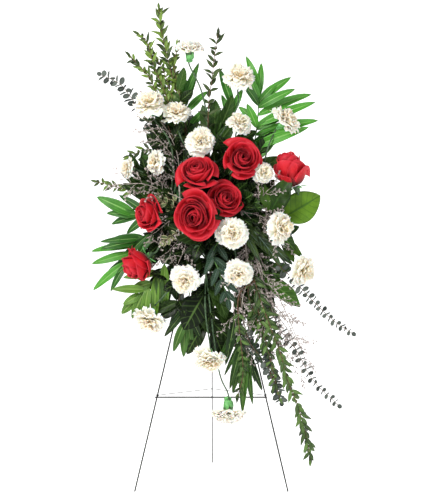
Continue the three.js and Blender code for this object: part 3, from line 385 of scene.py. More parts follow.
def pieceName(node):
    first, *rest = node.split("_")
    return first + "".join(word.capitalize() for word in rest)


def addPiece(node, mesh, body="frame", finish=None):  # the finished piece for a node of the frame
    if finish:
        mesh.materials.append(finishes[finish])
    piece = placed(pieceName(node), mesh)
    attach(piece, body)
    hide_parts(node)


# Routes and stalks
def routePlace(places, share):
    if len(places) == 2:
        return places[0].lerp(places[1], share)
    last = len(places) - 1
    step = min(int(share * last), last - 1)
    t = share * last - step
    a, b = places[step], places[step + 1]
    before = places[step - 1] if step else a * 2 - b
    after = places[step + 2] if step + 2 <= last else b * 2 - a
    leave, arrive = (b - before) / 2, (after - a) / 2
    return (a + leave * t + (b * 3 - a * 3 - leave * 2 - arrive) * t ** 2
            + (a * 2 - b * 2 + leave + arrive) * t ** 3)


class Stalk:  # a stem's smooth run through its places, read by its share of the length
    fine, reach, knotSwell, knotPower = 120, 0.02, 0.22, 12

    def __init__(self, places, radius):
        self.samples = [routePlace(places, i / self.fine) for i in range(self.fine + 1)]
        reach = [0.0]
        for a, b in zip(self.samples, self.samples[1:]):
            reach.append(reach[-1] + (b - a).length)
        self.shares = [value / reach[-1] for value in reach]
        self.radius = radius

    def point(self, share):
        place = float(np.interp(share, self.shares, range(self.fine + 1)))
        low = min(int(place), self.fine - 1)
        return self.samples[low].lerp(self.samples[low + 1], place - low)

    def heading(self, share):
        return unit(self.point(min(share + self.reach, 1)) - self.point(max(share - self.reach, 0)))

    def tube(self, plant, steps, taper=0.45, knots=0):
        places, radii = [], []
        for i in range(steps + 1):
            share = i / steps
            near = max(0.0, math.cos(share * knots * 2 * math.pi)) ** self.knotPower if knots else 0
            places.append(self.point(share))
            radii.append(self.radius * (1 + self.knotSwell * near) * (1 - taper * share))
        plant.run(places, radii)


# The plane of the front legs holds the foam: x runs across, y back and z up the legs, from their top.
legPlan = {"top": 870.1, "reach": 170}
legLean = math.atan2(legPlan["reach"], legPlan["top"])


def easelPlace(x, y, z):  # a place of the easel, from the ground under its pin, in millimetres
    return shift + Vector((x, y, z)) * milli


onLegs = Matrix.Translation(easelPlace(0, 0, legPlan["top"])) @ Matrix.Rotation(-legLean, 4, "X")


# Finishes. A noise has its scale, detail and roughness, a pair is where a change begins and ends, and the
# roughness is the lowest one, to which the noise adds its spread.
leafPlans = filled({
    "pleats": 0, "veins": 0, "roughness": 0.32, "spread": 0.22, "coat": 0.08, "coatRoughness": 0.3,
    "gloss": 0.25, "mottle": (38, 4), "mottleShare": 0.55, "tintShare": 0.75, "toneShift": 0.12,
    "tone": (0.12, 0.95), "strapMottle": (0.35, 0.75), "strapTint": (0.1, 0.3), "ribWidth": (0.02, 0.11),
    "ribShare": 0.75, "pleatShadeEdge": (0.5, 1.0), "pleatShadeAndRelief": 0.7, "slant": 1.3, "veinWidth": (0.03, 0.12),
    "veinEnd": (0.85, 1.0), "veinShare": 0.35, "veinDepth": 0.8, "ragged": 0.5, "marginEdge": (0.52, 0.72),
    "grain": (420, 2), "grainShare": 0.25, "relief": (0.0007, 0.8),
}, {
    "palmBright": {"dark": (0.016, 0.095, 0.006), "light": (0.085, 0.340, 0.030),
                   "rib": (0.300, 0.560, 0.160), "pleats": 6, "coat": 0.1, "gloss": 0.3},
    "palmYellow": {"dark": (0.014, 0.050, 0.005), "light": (0.120, 0.255, 0.028),
                   "rib": (0.300, 0.440, 0.120), "pleats": 6, "coat": 0.1, "gloss": 0.3, "roughness": 0.34},
    "palmOlive": {"dark": (0.007, 0.026, 0.003), "light": (0.055, 0.150, 0.018),
                  "rib": (0.240, 0.380, 0.110), "pleats": 6},
    "palmDark": {"dark": (0.005, 0.024, 0.003), "light": (0.070, 0.250, 0.028),
                 "rib": (0.240, 0.500, 0.120), "pleats": 6, "coat": 0.04, "gloss": 0.16},
    # The fern is near black, partly its own dark green and partly painted shade for the dark centre.
    "fern": {"dark": (0.002, 0.008, 0.003), "light": (0.014, 0.040, 0.018), "rib": (0.120, 0.190, 0.150),
             "veins": 8, "gloss": 0.2, "strap": (0.034, 0.066, 0.007)},
    # The salal tones are one leaf in lit and shaded copies: salalDark and salalShade paint shade, salalLight
    # and salalBright paint light.
    "salalDark": {"dark": (0.005, 0.014, 0.003), "light": (0.030, 0.080, 0.011),
                  "rib": (0.110, 0.190, 0.045), "veins": 7, "roughness": 0.28, "coat": 0.03, "gloss": 0.14},
    "salalShade": {"dark": (0.003, 0.007, 0.002), "light": (0.022, 0.050, 0.008),
                   "rib": (0.080, 0.150, 0.035), "veins": 7, "roughness": 0.28, "coat": 0.03,
                   "gloss": 0.12},
    "salalLight": {"dark": (0.010, 0.030, 0.004), "light": (0.125, 0.265, 0.016),
                   "rib": (0.030, 0.090, 0.010), "veins": 7, "coat": 0.03, "gloss": 0.15},
    "salalBright": {"dark": (0.006, 0.018, 0.003), "light": (0.060, 0.160, 0.018),
                    "rib": (0.150, 0.290, 0.060), "veins": 7, "roughness": 0.28, "coat": 0.04,
                    "gloss": 0.16},
    "myrtleGreen": {"dark": (0.010, 0.030, 0.004), "light": (0.145, 0.245, 0.034),
                    "rib": (0.300, 0.380, 0.100)},
    "myrtleShade": {"dark": (0.008, 0.022, 0.005), "light": (0.100, 0.190, 0.040),
                    "rib": (0.220, 0.320, 0.100), "gloss": 0.22},
    "myrtleDark": {"dark": (0.014, 0.026, 0.008), "light": (0.060, 0.095, 0.030),
                   "rib": (0.150, 0.190, 0.080), "coat": 0.04, "gloss": 0.18},
    "eucalyptus": {"dark": (0.022, 0.030, 0.026), "light": (0.105, 0.125, 0.108),
                   "rib": (0.180, 0.200, 0.175), "roughness": 0.52, "coat": 0.0, "gloss": 0.18},
    "limonium": {"dark": (0.240, 0.190, 0.180), "light": (0.760, 0.680, 0.650),
                 "rib": (0.950, 0.900, 0.860), "roughness": 0.7, "coat": 0.0, "gloss": 0.2},
    "pittosporum": {"dark": (0.035, 0.065, 0.018), "light": (0.120, 0.180, 0.060),
                    "rib": (0.300, 0.360, 0.180), "veins": 5, "roughness": 0.35, "coat": 0.06,
                    "margin": (0.450, 0.430, 0.240)},
})


def leafFinish(name, plan):
    finish = Finish(name, Coat_Weight=plan["coat"], Coat_Roughness=plan["coatRoughness"],
                    Specular_IOR_Level=plan["gloss"])
    u, v = finish.across()
    off = abs(u - 0.5) * 2
    mottle = finish.noise(*plan["mottle"])
    tone = mottle * plan["mottleShare"] + finish.attribute("tint") * plan["tintShare"] - plan["toneShift"]
    color = finish.mix(plan["dark"], plan["light"], tone.between(*plan["tone"]))
    if "strap" in plan:  # the leaves of the lowest tint
        strap = finish.mix(plan["strap"], plan["dark"], mottle.between(*plan["strapMottle"]))
        color = finish.mix(strap, color, finish.attribute("tint").between(*plan["strapTint"]))
    rib = 1 - off.between(*plan["ribWidth"])
    relief = rib
    # Pleats: painted shade darkens each fold towards the dark colour, and the same folds give the relief.
    if plan["pleats"]:
        pleat = abs((u * plan["pleats"]).part() - 0.5) * 2
        color = finish.mix(color, plan["dark"], pleat.between(*plan["pleatShadeEdge"]) * plan["pleatShadeAndRelief"])
        relief = relief + pleat * plan["pleatShadeAndRelief"]
    if plan["veins"]:
        slant = abs((v * plan["veins"] - off * plan["slant"]).part() - 0.5)
        vein = (1 - slant.between(*plan["veinWidth"])) * (1 - off.between(*plan["veinEnd"]))
        color = finish.mix(color, plan["rib"], vein * plan["veinShare"])
        relief = relief - vein * plan["veinDepth"]
    if "margin" in plan:
        ragged = off + (mottle - 0.5) * plan["ragged"]
        color = finish.mix(color, plan["margin"], ragged.between(*plan["marginEdge"]))
    finish.sets("Base Color", finish.mix(color, plan["rib"], rib * plan["ribShare"]))
    finish.sets("Roughness", mottle * plan["spread"] + plan["roughness"])
    finish.bump(relief + finish.noise(*plan["grain"]) * plan["grainShare"], *plan["relief"])
    return finish.material


plainPlans = filled({
    "gloss": 0.35, "streak": (160, 4, 0.6), "blend": (0.3, 0.72), "spread": 0.2, "grain": (700, 3),
    "relief": (0.0004, 0.7),
}, {
    "bloomStem": {"dark": (0.018, 0.045, 0.018), "light": (0.085, 0.150, 0.070), "roughness": 0.4},
    "freshStem": {"dark": (0.030, 0.090, 0.020), "light": (0.120, 0.250, 0.070), "roughness": 0.4},
    "brownTwig": {"dark": (0.035, 0.022, 0.014), "light": (0.170, 0.110, 0.070), "roughness": 0.6},
    "redTwig": {"dark": (0.050, 0.022, 0.012), "light": (0.160, 0.085, 0.045), "roughness": 0.5},
    "dryTwig": {"dark": (0.120, 0.090, 0.078), "light": (0.560, 0.500, 0.450), "roughness": 0.7},
    "calyxGreen": {"dark": (0.080, 0.300, 0.080), "light": (0.200, 0.560, 0.170), "roughness": 0.35},
    "blackWire": {"dark": (0.004, 0.004, 0.004), "light": (0.020, 0.019, 0.018), "roughness": 0.34,
                  "spread": 0.25, "gloss": 0.18, "streak": (60, 5, 0.65), "blend": (0.52, 0.8),
                  "grain": (900, 2), "relief": (0.0002, 0.5)},
    "trayPlastic": {"dark": (0.006, 0.022, 0.011), "light": (0.022, 0.060, 0.032), "roughness": 0.28,
                    "spread": 0.3, "gloss": 0.45, "streak": (45, 6, 0.7), "blend": (0.4, 0.8),
                    "grain": (1300, 2), "relief": (0.0002, 0.7)},
})


def plainFinish(name, plan):
    finish = Finish(name, Specular_IOR_Level=plan["gloss"])
    streak = finish.noise(*plan["streak"])
    finish.sets("Base Color", finish.mix(plan["dark"], plan["light"], streak.between(*plan["blend"])))
    finish.sets("Roughness", streak * plan["spread"] + plan["roughness"])
    finish.bump(finish.noise(*plan["grain"]), *plan["relief"])
    return finish.material


# Petal colours: deep is painted shade at the petal's foot, rim a painted highlight at its edge and heart
# painted shade on the inner petals; for carnations deep and heart are partly their own cream.
petalPlans = filled({
    "sheenRoughness": 0.45, "gloss": 0.3, "scatterScale": 0.004, "scatterRadius": (1.0, 0.5, 0.35),
    "cloud": (90, 4), "cloudShare": 0.15, "rimTint": 0.12, "rimHighlightEdge": (0.82, 1.02),
    "heartCloud": (0.8, 0.5), "heartEdge": (0.80, 1.0), "heartFade": 0.6, "patchEdge": (0.52, 0.72),
    "spread": 0.15, "grain": (1100, 2), "grainShare": 0.35, "streaks": 26, "streakBend": 3,
    "streakShare": 0.5, "relief": (0.00025, 0.6),
}, {
    "roseRed": {"deep": (0.060, 0.0, 0.001), "body": (0.535, 0.005, 0.013), "rim": (0.545, 0.012, 0.027),
                "heart": (0.130, 0.0, 0.003), "roughness": 0.48, "sheen": 0.18,
                "sheenTint": (1.0, 0.30, 0.36), "rise": (0.18, 0.74), "patch": 0.0, "heartShare": 0.75,
                "scattering": 0.04},
    "carnationWhite": {"deep": (0.860, 0.760, 0.540), "body": (0.920, 0.870, 0.740),
                       "rim": (0.950, 0.915, 0.840), "heart": (0.840, 0.640, 0.360), "roughness": 0.68,
                       "sheen": 0.2, "sheenTint": (1.0, 1.0, 1.0), "rise": (0.15, 0.70), "patch": 0.25,
                       "heartShare": 0.65, "scattering": 0.4},
})


def petalFinish(name, plan):
    finish = Finish(name, Sheen_Weight=plan["sheen"], Sheen_Roughness=plan["sheenRoughness"],
                    Sheen_Tint=(*plan["sheenTint"], 1), Specular_IOR_Level=plan["gloss"],
                    Subsurface_Weight=plan["scattering"], Subsurface_Scale=plan["scatterScale"],
                    Subsurface_Radius=plan["scatterRadius"])
    u, v = finish.across()
    cloud = finish.noise(*plan["cloud"])
    # Painted shade: each petal darkens towards the deep colour at its foot, inside the bloom; for carnations
    # the deep cream is partly the petals' own colour.
    body = (v + (cloud - 0.5) * plan["cloudShare"]).between(*plan["rise"])
    color = finish.mix(plan["deep"], plan["body"], body)
    # Painted highlight: a lighter rim along each petal's edge.
    rim = (v + finish.attribute("tint") * plan["rimTint"]).between(*plan["rimHighlightEdge"])
    color = finish.mix(color, plan["rim"], rim)
    # Painted shade on the inner petals: roses darken towards the heart colour there and carnations warm
    # towards it, which is partly their own cream; towards the rims it fades.
    share, base = plan["heartCloud"]
    warm = finish.attribute("heart") * (cloud * share + base)
    warm = warm * (1 - v.between(*plan["heartEdge"]) * plan["heartFade"])
    warm = warm + cloud.between(*plan["patchEdge"]) * plan["patch"]
    finish.sets("Base Color", finish.mix(color, plan["heart"], warm * plan["heartShare"]))
    finish.sets("Roughness", cloud * plan["spread"] + plan["roughness"])
    grain = finish.noise(*plan["grain"]) * plan["grainShare"]
    streak = abs((u * plan["streaks"] + (cloud - 0.5) * plan["streakBend"]).part() - 0.5)
    finish.bump(grain + streak * plan["streakShare"], *plan["relief"])
    return finish.material


foamLook = {
    "dark": (0.012, 0.050, 0.016), "light": (0.045, 0.130, 0.045), "damp": (0.010, 0.035, 0.012),
    "gloss": 0.3, "pores": 900.0, "poreEdge": (0.1, 0.6), "patch": (30, 4), "patchEdge": (0.45, 0.7),
    "dampShare": 0.6, "roughness": 0.8, "spread": 0.15, "relief": (0.0009, 1.0),
}


def foamFinish(name, plan):
    finish = Finish(name, Specular_IOR_Level=plan["gloss"])
    coords = finish.node("ShaderNodeTexCoord", out=3)
    pores = finish.node("ShaderNodeTexVoronoi", None, {"Vector": coords, "Scale": plan["pores"]})
    patch = finish.noise(*plan["patch"])
    color = finish.mix(plan["dark"], plan["light"], pores.between(*plan["poreEdge"]))
    damp = patch.between(*plan["patchEdge"]) * plan["dampShare"]
    finish.sets("Base Color", finish.mix(color, plan["damp"], damp))
    finish.sets("Roughness", patch * plan["spread"] + plan["roughness"])
    finish.bump(pores, *plan["relief"])
    return finish.material


finishes = {"wetFoam": foamFinish("wetFoam", foamLook)}
for plans, build in ((leafPlans, leafFinish), (plainPlans, plainFinish), (petalPlans, petalFinish)):
    finishes.update({name: build(name, plan) for name, plan in plans.items()})
print("stage: finishes")


# Leaves: one unit long along +Y and one wide along X, scaled to each leaf when they are placed.
leafForms = filled({
    "rows": 6, "columns": 4, "widest": 0.47, "arch": 0.05, "fold": 0.045, "wave": 0.0, "waves": 2.6,
    "bend": 0.05, "droop": 0.08, "foot": 0.09, "tip": 0.012, "phase": 2.1, "foldPower": 1.2,
    "droopLeast": 0.4, "variants": 3,
}, {
    "palm": {"rows": 16, "columns": 8, "widest": 0.42, "blunt": 0.66, "arch": 0.07, "fold": 0.035,
             "wave": 0.006, "droop": 0.05, "thickness": 0.005, "variants": 4},
    "salal": {"rows": 20, "columns": 12, "blunt": 0.72, "wave": 0.020, "bend": 0.04, "droop": 0.05,
              "thickness": 0.006, "variants": 4},
    "filling": {"blunt": 0.72, "thickness": 0.010},
    "myrtle": {"widest": 0.40, "blunt": 1.1, "arch": 0.06, "fold": 0.04, "thickness": 0.022},
    "eucalyptus": {"blunt": 0.42, "arch": 0.02, "fold": 0.05, "wave": 0.01, "bend": 0.02, "droop": 0.05,
                   "thickness": 0.03},
    "pittosporum": {"rows": 7, "columns": 6, "widest": 0.6, "blunt": 0.7, "fold": 0.06, "wave": 0.03,
                    "thickness": 0.022},
    "sepal": {"widest": 0.30, "blunt": 0.8, "arch": 0.06, "fold": -0.05, "bend": 0.08, "droop": 0.12,
              "thickness": 0.05, "variants": 2},
})
floretPlan = {
    "lobes": 3, "variants": 3, "across": 1.9, "throat": 0.10, "flare": 0.42, "flarePower": 1.6,
    "uneven": 0.12, "heights": (0.9, 0.2), "thickness": 0.10,
}


def leafMesh(name, form, number):
    v, u = np.mgrid[0:1:(form["rows"] + 1) * 1j, -1:1:(form["columns"] + 1) * 1j]
    crest = math.log(0.5) / math.log(form["widest"])
    width = np.sin(math.pi * np.clip(v, 0.0, 1.0) ** crest).clip(0, 1) ** form["blunt"]
    width = np.maximum(width, form["foot"] * (1 - v) ** 2 + form["tip"])
    swing = (2 * draw(number, 3) - 1) * form["bend"]
    phase = number * form["phase"]
    wave = form["wave"] * np.sin(2 * math.pi * form["waves"] * v + phase + u) * np.abs(u) ** 2
    x = u * width / 2 + swing * v ** 2
    z = (form["arch"] * 4 * v * (1 - v) + form["fold"] * np.abs(u) ** form["foldPower"] * width + wave
         - form["droop"] * (form["droopLeast"] + draw(number, 7)) * v ** 3)
    return meshOf(f"{name}Leaf{number}", [sheetPart(np.stack([x, v, z], axis=-1), form["thickness"])])


def floretMesh(plan, number):  # a small papery trumpet on a short foot
    parts = []
    for lobe in range(plan["lobes"]):
        v, u = np.mgrid[0:1:2j, -1:1:2j]
        turn = lobe / plan["lobes"] * 2 * math.pi + u * (plan["across"] / plan["lobes"]) + number
        flare = plan["flare"] * v ** plan["flarePower"]
        reach = plan["throat"] + flare + plan["uneven"] * draw(lobe, number) * v
        height = v * drawn(plan["heights"], lobe, number + 4)
        places = np.stack([reach * np.cos(turn), height, reach * np.sin(turn)], axis=-1)
        parts.append(sheetPart(places, plan["thickness"]))
    return meshOf(f"floret{number}", parts)


leafMeshes = {kind: [leafMesh(kind, form, i) for i in range(form["variants"])]
              for kind, form in leafForms.items()}
leafMeshes["salal"] += leafMeshes.pop("filling")  # its small filling leaves come after its own
leafMeshes["limonium"] = [floretMesh(floretPlan, i) for i in range(floretPlan["variants"])]
leafGroups = {kind: collectionOf(kind + "Leaves", meshes) for kind, meshes in leafMeshes.items()}
print("stage: leaf forms")


# Greenery. A listed leaf has its tip, its start along the stem, its width and, where needed, the turn of its
# face and its tint. Pairs of leaves and twigs of florets grow from a share of the stem on. A further stem
# leaves the first one at the share that its branch gives.
greenery = [
  {"node": "palm_frond_upper", "kind": "palm", "tone": "palmBright", "stems": [
    {"route": [[236, 200, 66], [250, 160, 62], [257, 127, 52], [259, 92, 42]],
     "leaves": [[289, 73, 30, 0.93, 24], [293, 85, 62, 0.86, 26], [312, 90, 28, 0.79, 28],
     [315, 99, 66, 0.7, 28], [316, 113, 26, 0.61, 30], [309, 127, 66, 0.5, 30], [275, 147, 78, 0.36, 26],
     [247, 55, 40, 0.99, 24], [238, 82, 62, 0.88, 22], [262, 62, 20, 0.96, 20], [238, 108, 30, 0.72, 22],
     [302, 122, 44, 0.55, 26], [290, 136, 50, 0.44, 26], [276, 80, 46, 0.9, 22], [245, 74, 50, 0.93, 22],
     [246, 104, 56, 0.68, 24], [300, 106, 48, 0.66, 26]]},
    {"route": [[231, 150, 40], [233, 105, 34]], "leaves": [[222, 67, 30, 0.99, 24], [240, 88, 18, 0.9, 20],
     [221, 95, 24, 0.8, 20], [228, 84, 42, 0.95, 20], [246, 112, 26, 0.7, 22]]},
  ]},
  {"node": "palm_frond_left", "kind": "palm", "tone": "palmBright", "stems": [
    {"route": [[184, 208, 66], [160, 214, 62], [134, 215, 55]], "leaves": [[95, 201, 48, 0.97, 34, 0, 0.5],
     [112, 222, 30, 0.85, 24, 0, 0.1], [118, 196, 36, 0.7, 22, 0, 0.0], [106, 212, 60, 0.9, 24, 0, 0.3],
     [126, 232, 46, 0.7, 24, 0, 0.0]]},
    {"route": [[160, 230, 80], [138, 240, 80], [126, 264, 76]],
     "leaves": [[101, 251, 98, 0.66, 24, 0, 0.05], [90, 250, 60, 0.74, 20], [92, 266, 88, 0.84, 24],
     [90, 287, 78, 0.97, 24, 0, 0.9], [116, 266, 66, 0.48, 22, 0, 0.0], [108, 238, 74, 0.55, 22, 0, 0.1],
     [112, 292, 98, 0.98, 20, 0, 0.1], [100, 240, 92, 0.6, 20, 0, 0.0], [104, 278, 66, 0.9, 20, 0, 0.2],
     [132, 258, 92, 0.4, 22, 0, 0.0]]},
  ]},
  {"node": "palm_frond_lower_left", "kind": "palm", "tone": "palmYellow", "slot": "palm_yellow", "stems": [
    {"route": [[188, 226, 84], [166, 262, 108], [149, 286, 112], [136, 300, 108]],
     "leaves": [[121, 314, 104, 0.96, 28], [130, 318, 122, 0.86, 28], [112, 292, 122, 0.84, 24],
     [150, 322, 98, 0.66, 26], [124, 280, 96, 0.6, 24], [168, 310, 106, 0.5, 26], [141, 322, 112, 0.8, 26],
     [122, 302, 116, 0.92, 24], [158, 304, 118, 0.62, 26], [132, 290, 104, 0.75, 26]]},
  ]},
  {"node": "palm_frond_lower", "kind": "palm", "tone": "palmOlive", "stems": [
    {"route": [[206, 226, 84], [192, 280, 104], [185, 324, 108]], "leaves": [[176, 353, 120, 0.97, 24],
     [196, 352, 104, 0.9, 22], [164, 338, 106, 0.82, 21, 0, 0.2], [184, 358, 110, 0.99, 24, 0, 0.9],
     [206, 340, 112, 0.85, 22, 0, 0.2], [170, 326, 98, 0.72, 20, 0, 0.1]]},
    {"route": [[234, 300, 122], [246, 352, 140]], "leaves": [[223, 388, 156, 0.88, 21],
     [231, 395, 138, 0.97, 21], [248, 413, 150, 0.99, 24], [262, 392, 138, 0.94, 20],
     [222, 356, 134, 0.72, 16], [239, 398, 150, 0.95, 17], [262, 370, 138, 0.8, 16],
     [216, 372, 144, 0.78, 14], [256, 404, 146, 0.99, 18], [226, 378, 148, 0.86, 14],
     [242, 388, 130, 0.9, 14], [252, 384, 152, 0.9, 14], [232, 366, 130, 0.6, 26, 0, 0.0]]},
  ]},
  {"node": "palm_straps_upper_left", "kind": "palm", "tone": "palmDark", "slot": "palm_dark", "stems": [
    {"route": [[204, 198, 46], [193, 150, 42], [184, 98, 36]], "leaves": [[200, 74, 30, 0.96, 22],
     [197, 62, 50, 0.99, 20], [209, 92, 34, 0.86, 22], [208, 107, 50, 0.7, 22], [166, 112, 26, 0.74, 20],
     [176, 76, 20, 0.97, 20], [188, 80, 42, 0.92, 22], [216, 120, 40, 0.55, 22], [168, 130, 34, 0.6, 20],
     [160, 98, 40, 0.84, 20]]},
  ]},
  {"node": "salal_branch_top", "kind": "salal", "tone": "salalDark", "stems": [
    {"route": [[218, 198, 56], [214, 165, 60], [214, 136, 62]], "leaves": [[231, 94, 66, 0.97, 46, 0.5],
     [198, 106, 54, 0.85, 38, -0.3], [234, 122, 76, 0.78, 38, 0.4], [194, 150, 66, 0.45, 40, -0.4],
     [240, 148, 72, 0.5, 42, 0.4], [215, 100, 52, 1, 40, 0]]},
    {"route": [[228, 165, 70], [232, 146, 74]], "leaves": [[257, 131, 82, 0.97, 36, -0.3]]},
    {"route": [[250, 172, 66], [259, 152, 70]], "leaves": [[275, 133, 62, 0.97, 36, 0.4],
     [242, 132, 60, 0.85, 38, -0.3], [284, 158, 58, 0.7, 36, 0.5], [236, 168, 84, 0.4, 40, -0.3]]},
    {"route": [[190, 140, 62], [178, 88, 60]], "leaves": [[187, 68, 60, 0.98, 27, 0.3, 1.3],
     [164, 116, 58, 0.62, 32, -0.3], [198, 122, 70, 0.5, 32, 0.3], [166, 92, 50, 0.88, 26, -0.2]]},
    {"branch": 0.4, "route": [[208, 178, 88], [202, 182, 104]],
     "leaves": [[172, 200, 107, 0.95, 54, -0.2]]},
    {"branch": 0.34, "route": [[228, 176, 86], [230, 180, 104]],
     "leaves": [[256, 204, 112, 0.95, 54, 0.2]]},
    {"branch": 0.2, "route": [[188, 178, 64], [166, 152, 58]], "fill": 14,
     "leaves": [[146, 134, 52, 0.97, 38, -0.3], [186, 148, 68, 0.55, 38, 0.2],
     [156, 178, 66, 0.6, 38, -0.3], [170, 124, 62, 0.9, 36, 0.2], [138, 158, 52, 0.85, 36, -0.5]]},
    {"branch": 0.24, "route": [[186, 164, 60], [160, 122, 56]], "fill": 16,
     "leaves": [[138, 117, 54, 0.96, 15, -0.3], [150, 104, 50, 0.99, 14, 0.2],
     [144, 127, 52, 0.86, 18, -0.2], [169, 104, 52, 0.9, 20, 0.2], [146, 142, 54, 0.68, 22, -0.3],
     [156, 112, 58, 0.94, 16, 0.0], [180, 124, 60, 0.7, 24, 0.3], [152, 132, 62, 0.8, 18, 0.2],
     [163, 140, 64, 0.5, 26, -0.2], [150, 120, 64, 0.9, 15, 0.4]]},
    {"branch": 0.1, "route": [[184, 200, 62], [158, 204, 56]], "fill": 12,
     "leaves": [[136, 188, 50, 0.92, 38, -0.4], [132, 208, 46, 0.98, 32, -0.4],
     [150, 234, 62, 0.75, 40, -0.4], [160, 182, 60, 0.6, 38, -0.2], [121, 186, 54, 0.98, 36, -0.3],
     [126, 172, 56, 0.97, 26, 0.2], [138, 168, 60, 0.85, 32, -0.2], [130, 180, 62, 0.92, 26, 0.3],
     [118, 176, 50, 0.99, 20, 0.0], [146, 188, 66, 0.75, 34, 0.2]]},
    {"branch": 0.1, "route": [[182, 190, 66], [158, 180, 62], [140, 178, 58]], "fill": 18,
     "leaves": [[133, 151, 54, 0.98, 24, -0.3, 0.3], [140, 158, 60, 0.9, 30, 0.2, 0.1],
     [147, 148, 56, 0.94, 26, 0.2, 0.4], [128, 158, 50, 0.98, 18, 0.2, 0.5],
     [150, 166, 64, 0.6, 34, 0.0, 0.0]]},
  ]},
  {"node": "salal_branch_right", "kind": "salal", "tone": "salalLight", "stems": [
    {"route": [[244, 206, 74], [270, 216, 86], [286, 218, 90]],
     "leaves": [[322, 199, 102, 0.93, 88, 0.25, 0.62], [284, 192, 74, 0.7, 48, 0.2, 0.05],
     [296, 206, 70, 0.85, 40, -0.2, 0.1]]},
    {"route": [[262, 212, 100], [272, 211, 124]], "leaves": [[287, 176, 134, 0.95, 58, -0.3, 0.08],
     [262, 182, 132, 0.92, 40, 0.3, 0.3], [291, 188, 104, 0.8, 46, 0.5, 0.0]]},
    {"route": [[258, 207, 92], [258, 201, 94]], "leaves": [[266, 185, 78, 0.95, 34, 0.3, 0.1],
     [275, 179, 84, 0.9, 38, 0.0, 0.05]]},
    {"route": [[272, 232, 70], [284, 240, 62]], "leaves": [[303, 256, 56, 0.95, 26, 0.4, 0.5],
     [296, 262, 60, 0.9, 24, 0.2, 0.3], [300, 228, 56, 0.8, 30, 0.3, 0.1]]},
  ]},
  {"node": "salal_branch_lower_right", "kind": "salal", "tone": "salalBright", "stems": [
    {"route": [[240, 222, 78], [258, 262, 92], [266, 280, 98]], "fill": 14,
     "leaves": [[302, 304, 88, 0.98, 50, 0.2], [292, 270, 72, 0.9, 44, 0.5], [284, 250, 78, 0.5, 42, 0.5],
     [282, 292, 92, 0.85, 44, 0.3], [244, 290, 96, 0.75, 40, -0.3]]},
    {"branch": 0.5, "route": [[250, 278, 96], [258, 312, 102]], "fill": 14,
     "leaves": [[268, 334, 106, 0.98, 36, 0.2], [248, 334, 102, 0.92, 34, -0.2],
     [276, 316, 100, 0.8, 36, 0.3], [240, 312, 98, 0.7, 36, -0.3]]},
    {"route": [[246, 262, 100], [253, 282, 108]], "fill": 10, "leaves": [[273, 306, 108, 0.97, 50, -0.3],
     [256, 324, 114, 0.99, 44, 0.1]]},
    {"branch": 0.1, "route": [[256, 216, 72], [276, 230, 68]], "leaves": [[294, 252, 62, 0.97, 40, 0.4],
     [262, 250, 78, 0.65, 44, 0.2], [292, 216, 66, 0.8, 38, 0.5]]},
  ]},
  {"node": "salal_branch_lower_left", "kind": "salal", "tone": "salalShade", "stems": [
    {"route": [[204, 224, 80], [206, 262, 104], [204, 296, 118]],
     "leaves": [[180, 327, 146, 0.97, 76, 0.2, 0.1], [180, 274, 110, 0.5, 42, -0.2],
     [232, 274, 114, 0.5, 44, 0.3], [228, 308, 120, 0.78, 46, 0.3], [206, 334, 122, 0.99, 48, 0]]},
    {"route": [[208, 290, 100], [204, 326, 108]], "leaves": [[186, 354, 114, 0.97, 50, -0.3],
     [190, 334, 102, 0.7, 42, -0.4]]},
    {"route": [[212, 290, 112], [213, 332, 124]], "leaves": [[228, 360, 126, 0.97, 50, 0.3],
     [244, 336, 122, 0.75, 44, 0.4], [205, 320, 116, 0.55, 44, -0.3], [226, 320, 118, 0.45, 46, 0.3],
     [217, 342, 122, 0.85, 46, 0.1], [236, 348, 120, 0.9, 40, 0.3]]},
    {"route": [[202, 242, 128]], "leaves": [[167, 222, 136, 0.95, 54, -0.2]]},
    {"branch": 0.48, "route": [[215, 253, 114]], "leaves": [[246, 234, 117, 0.95, 46, 0.2]]},
    {"route": [[186, 270, 108], [177, 309, 112]], "leaves": [[160, 319, 116, 0.98, 30],
     [152, 311, 104, 0.9, 30]]},
    {"branch": 0.1, "route": [[184, 228, 84], [166, 240, 82], [152, 250, 78]], "fill": 12,
     "leaves": [[131, 265, 76, 0.9, 20, -0.2], [124, 262, 82, 0.98, 17, 0.2], [160, 264, 86, 0.6, 42, 0.2],
     [150, 272, 80, 0.8, 40, -0.2], [142, 240, 72, 0.9, 36, -0.4]]},
    {"branch": 0.15, "route": [[190, 248, 86], [168, 284, 92]], "fill": 12,
     "leaves": [[150, 258, 80, 0.4, 42, -0.4], [180, 300, 100, 0.75, 44, 0.2],
     [146, 288, 86, 0.75, 44, -0.4], [162, 312, 94, 0.99, 42, -0.2]]},
    {"branch": 0.15, "route": [[230, 246, 90], [244, 284, 98]], "leaves": [[260, 262, 86, 0.45, 44, 0.4],
     [272, 290, 88, 0.8, 46, 0.4], [236, 322, 106, 0.98, 46, -0.1], [262, 314, 98, 0.97, 44, 0.3]]},
  ]},
  {"node": "myrtle_sprigs_upper_left", "kind": "myrtle", "tone": "myrtleGreen", "stems": [
    {"route": [[200, 195, 58], [190, 150, 58], [178, 98, 52], [169, 64, 46], [161, 29, 40], [159, 9, 36]],
     "pairs": 40, "from": 0.28, "seed": 11, "taper": 0.2, "spread": 0.62},
    {"route": [[182, 140, 64], [165, 93, 62], [154, 66, 60], [147, 42, 56], [138, 34, 52]], "pairs": 24,
     "from": 0.34, "seed": 21, "spread": 0.66},
    {"route": [[174, 140, 70], [153, 85, 72], [144, 71, 72], [130, 56, 70]], "pairs": 20, "from": 0.34,
     "seed": 27, "spread": 0.66},
    {"route": [[188, 140, 60], [172, 96, 56], [163, 70, 50], [152, 52, 46]], "pairs": 15, "from": 0.36,
     "seed": 23, "spread": 0.7},
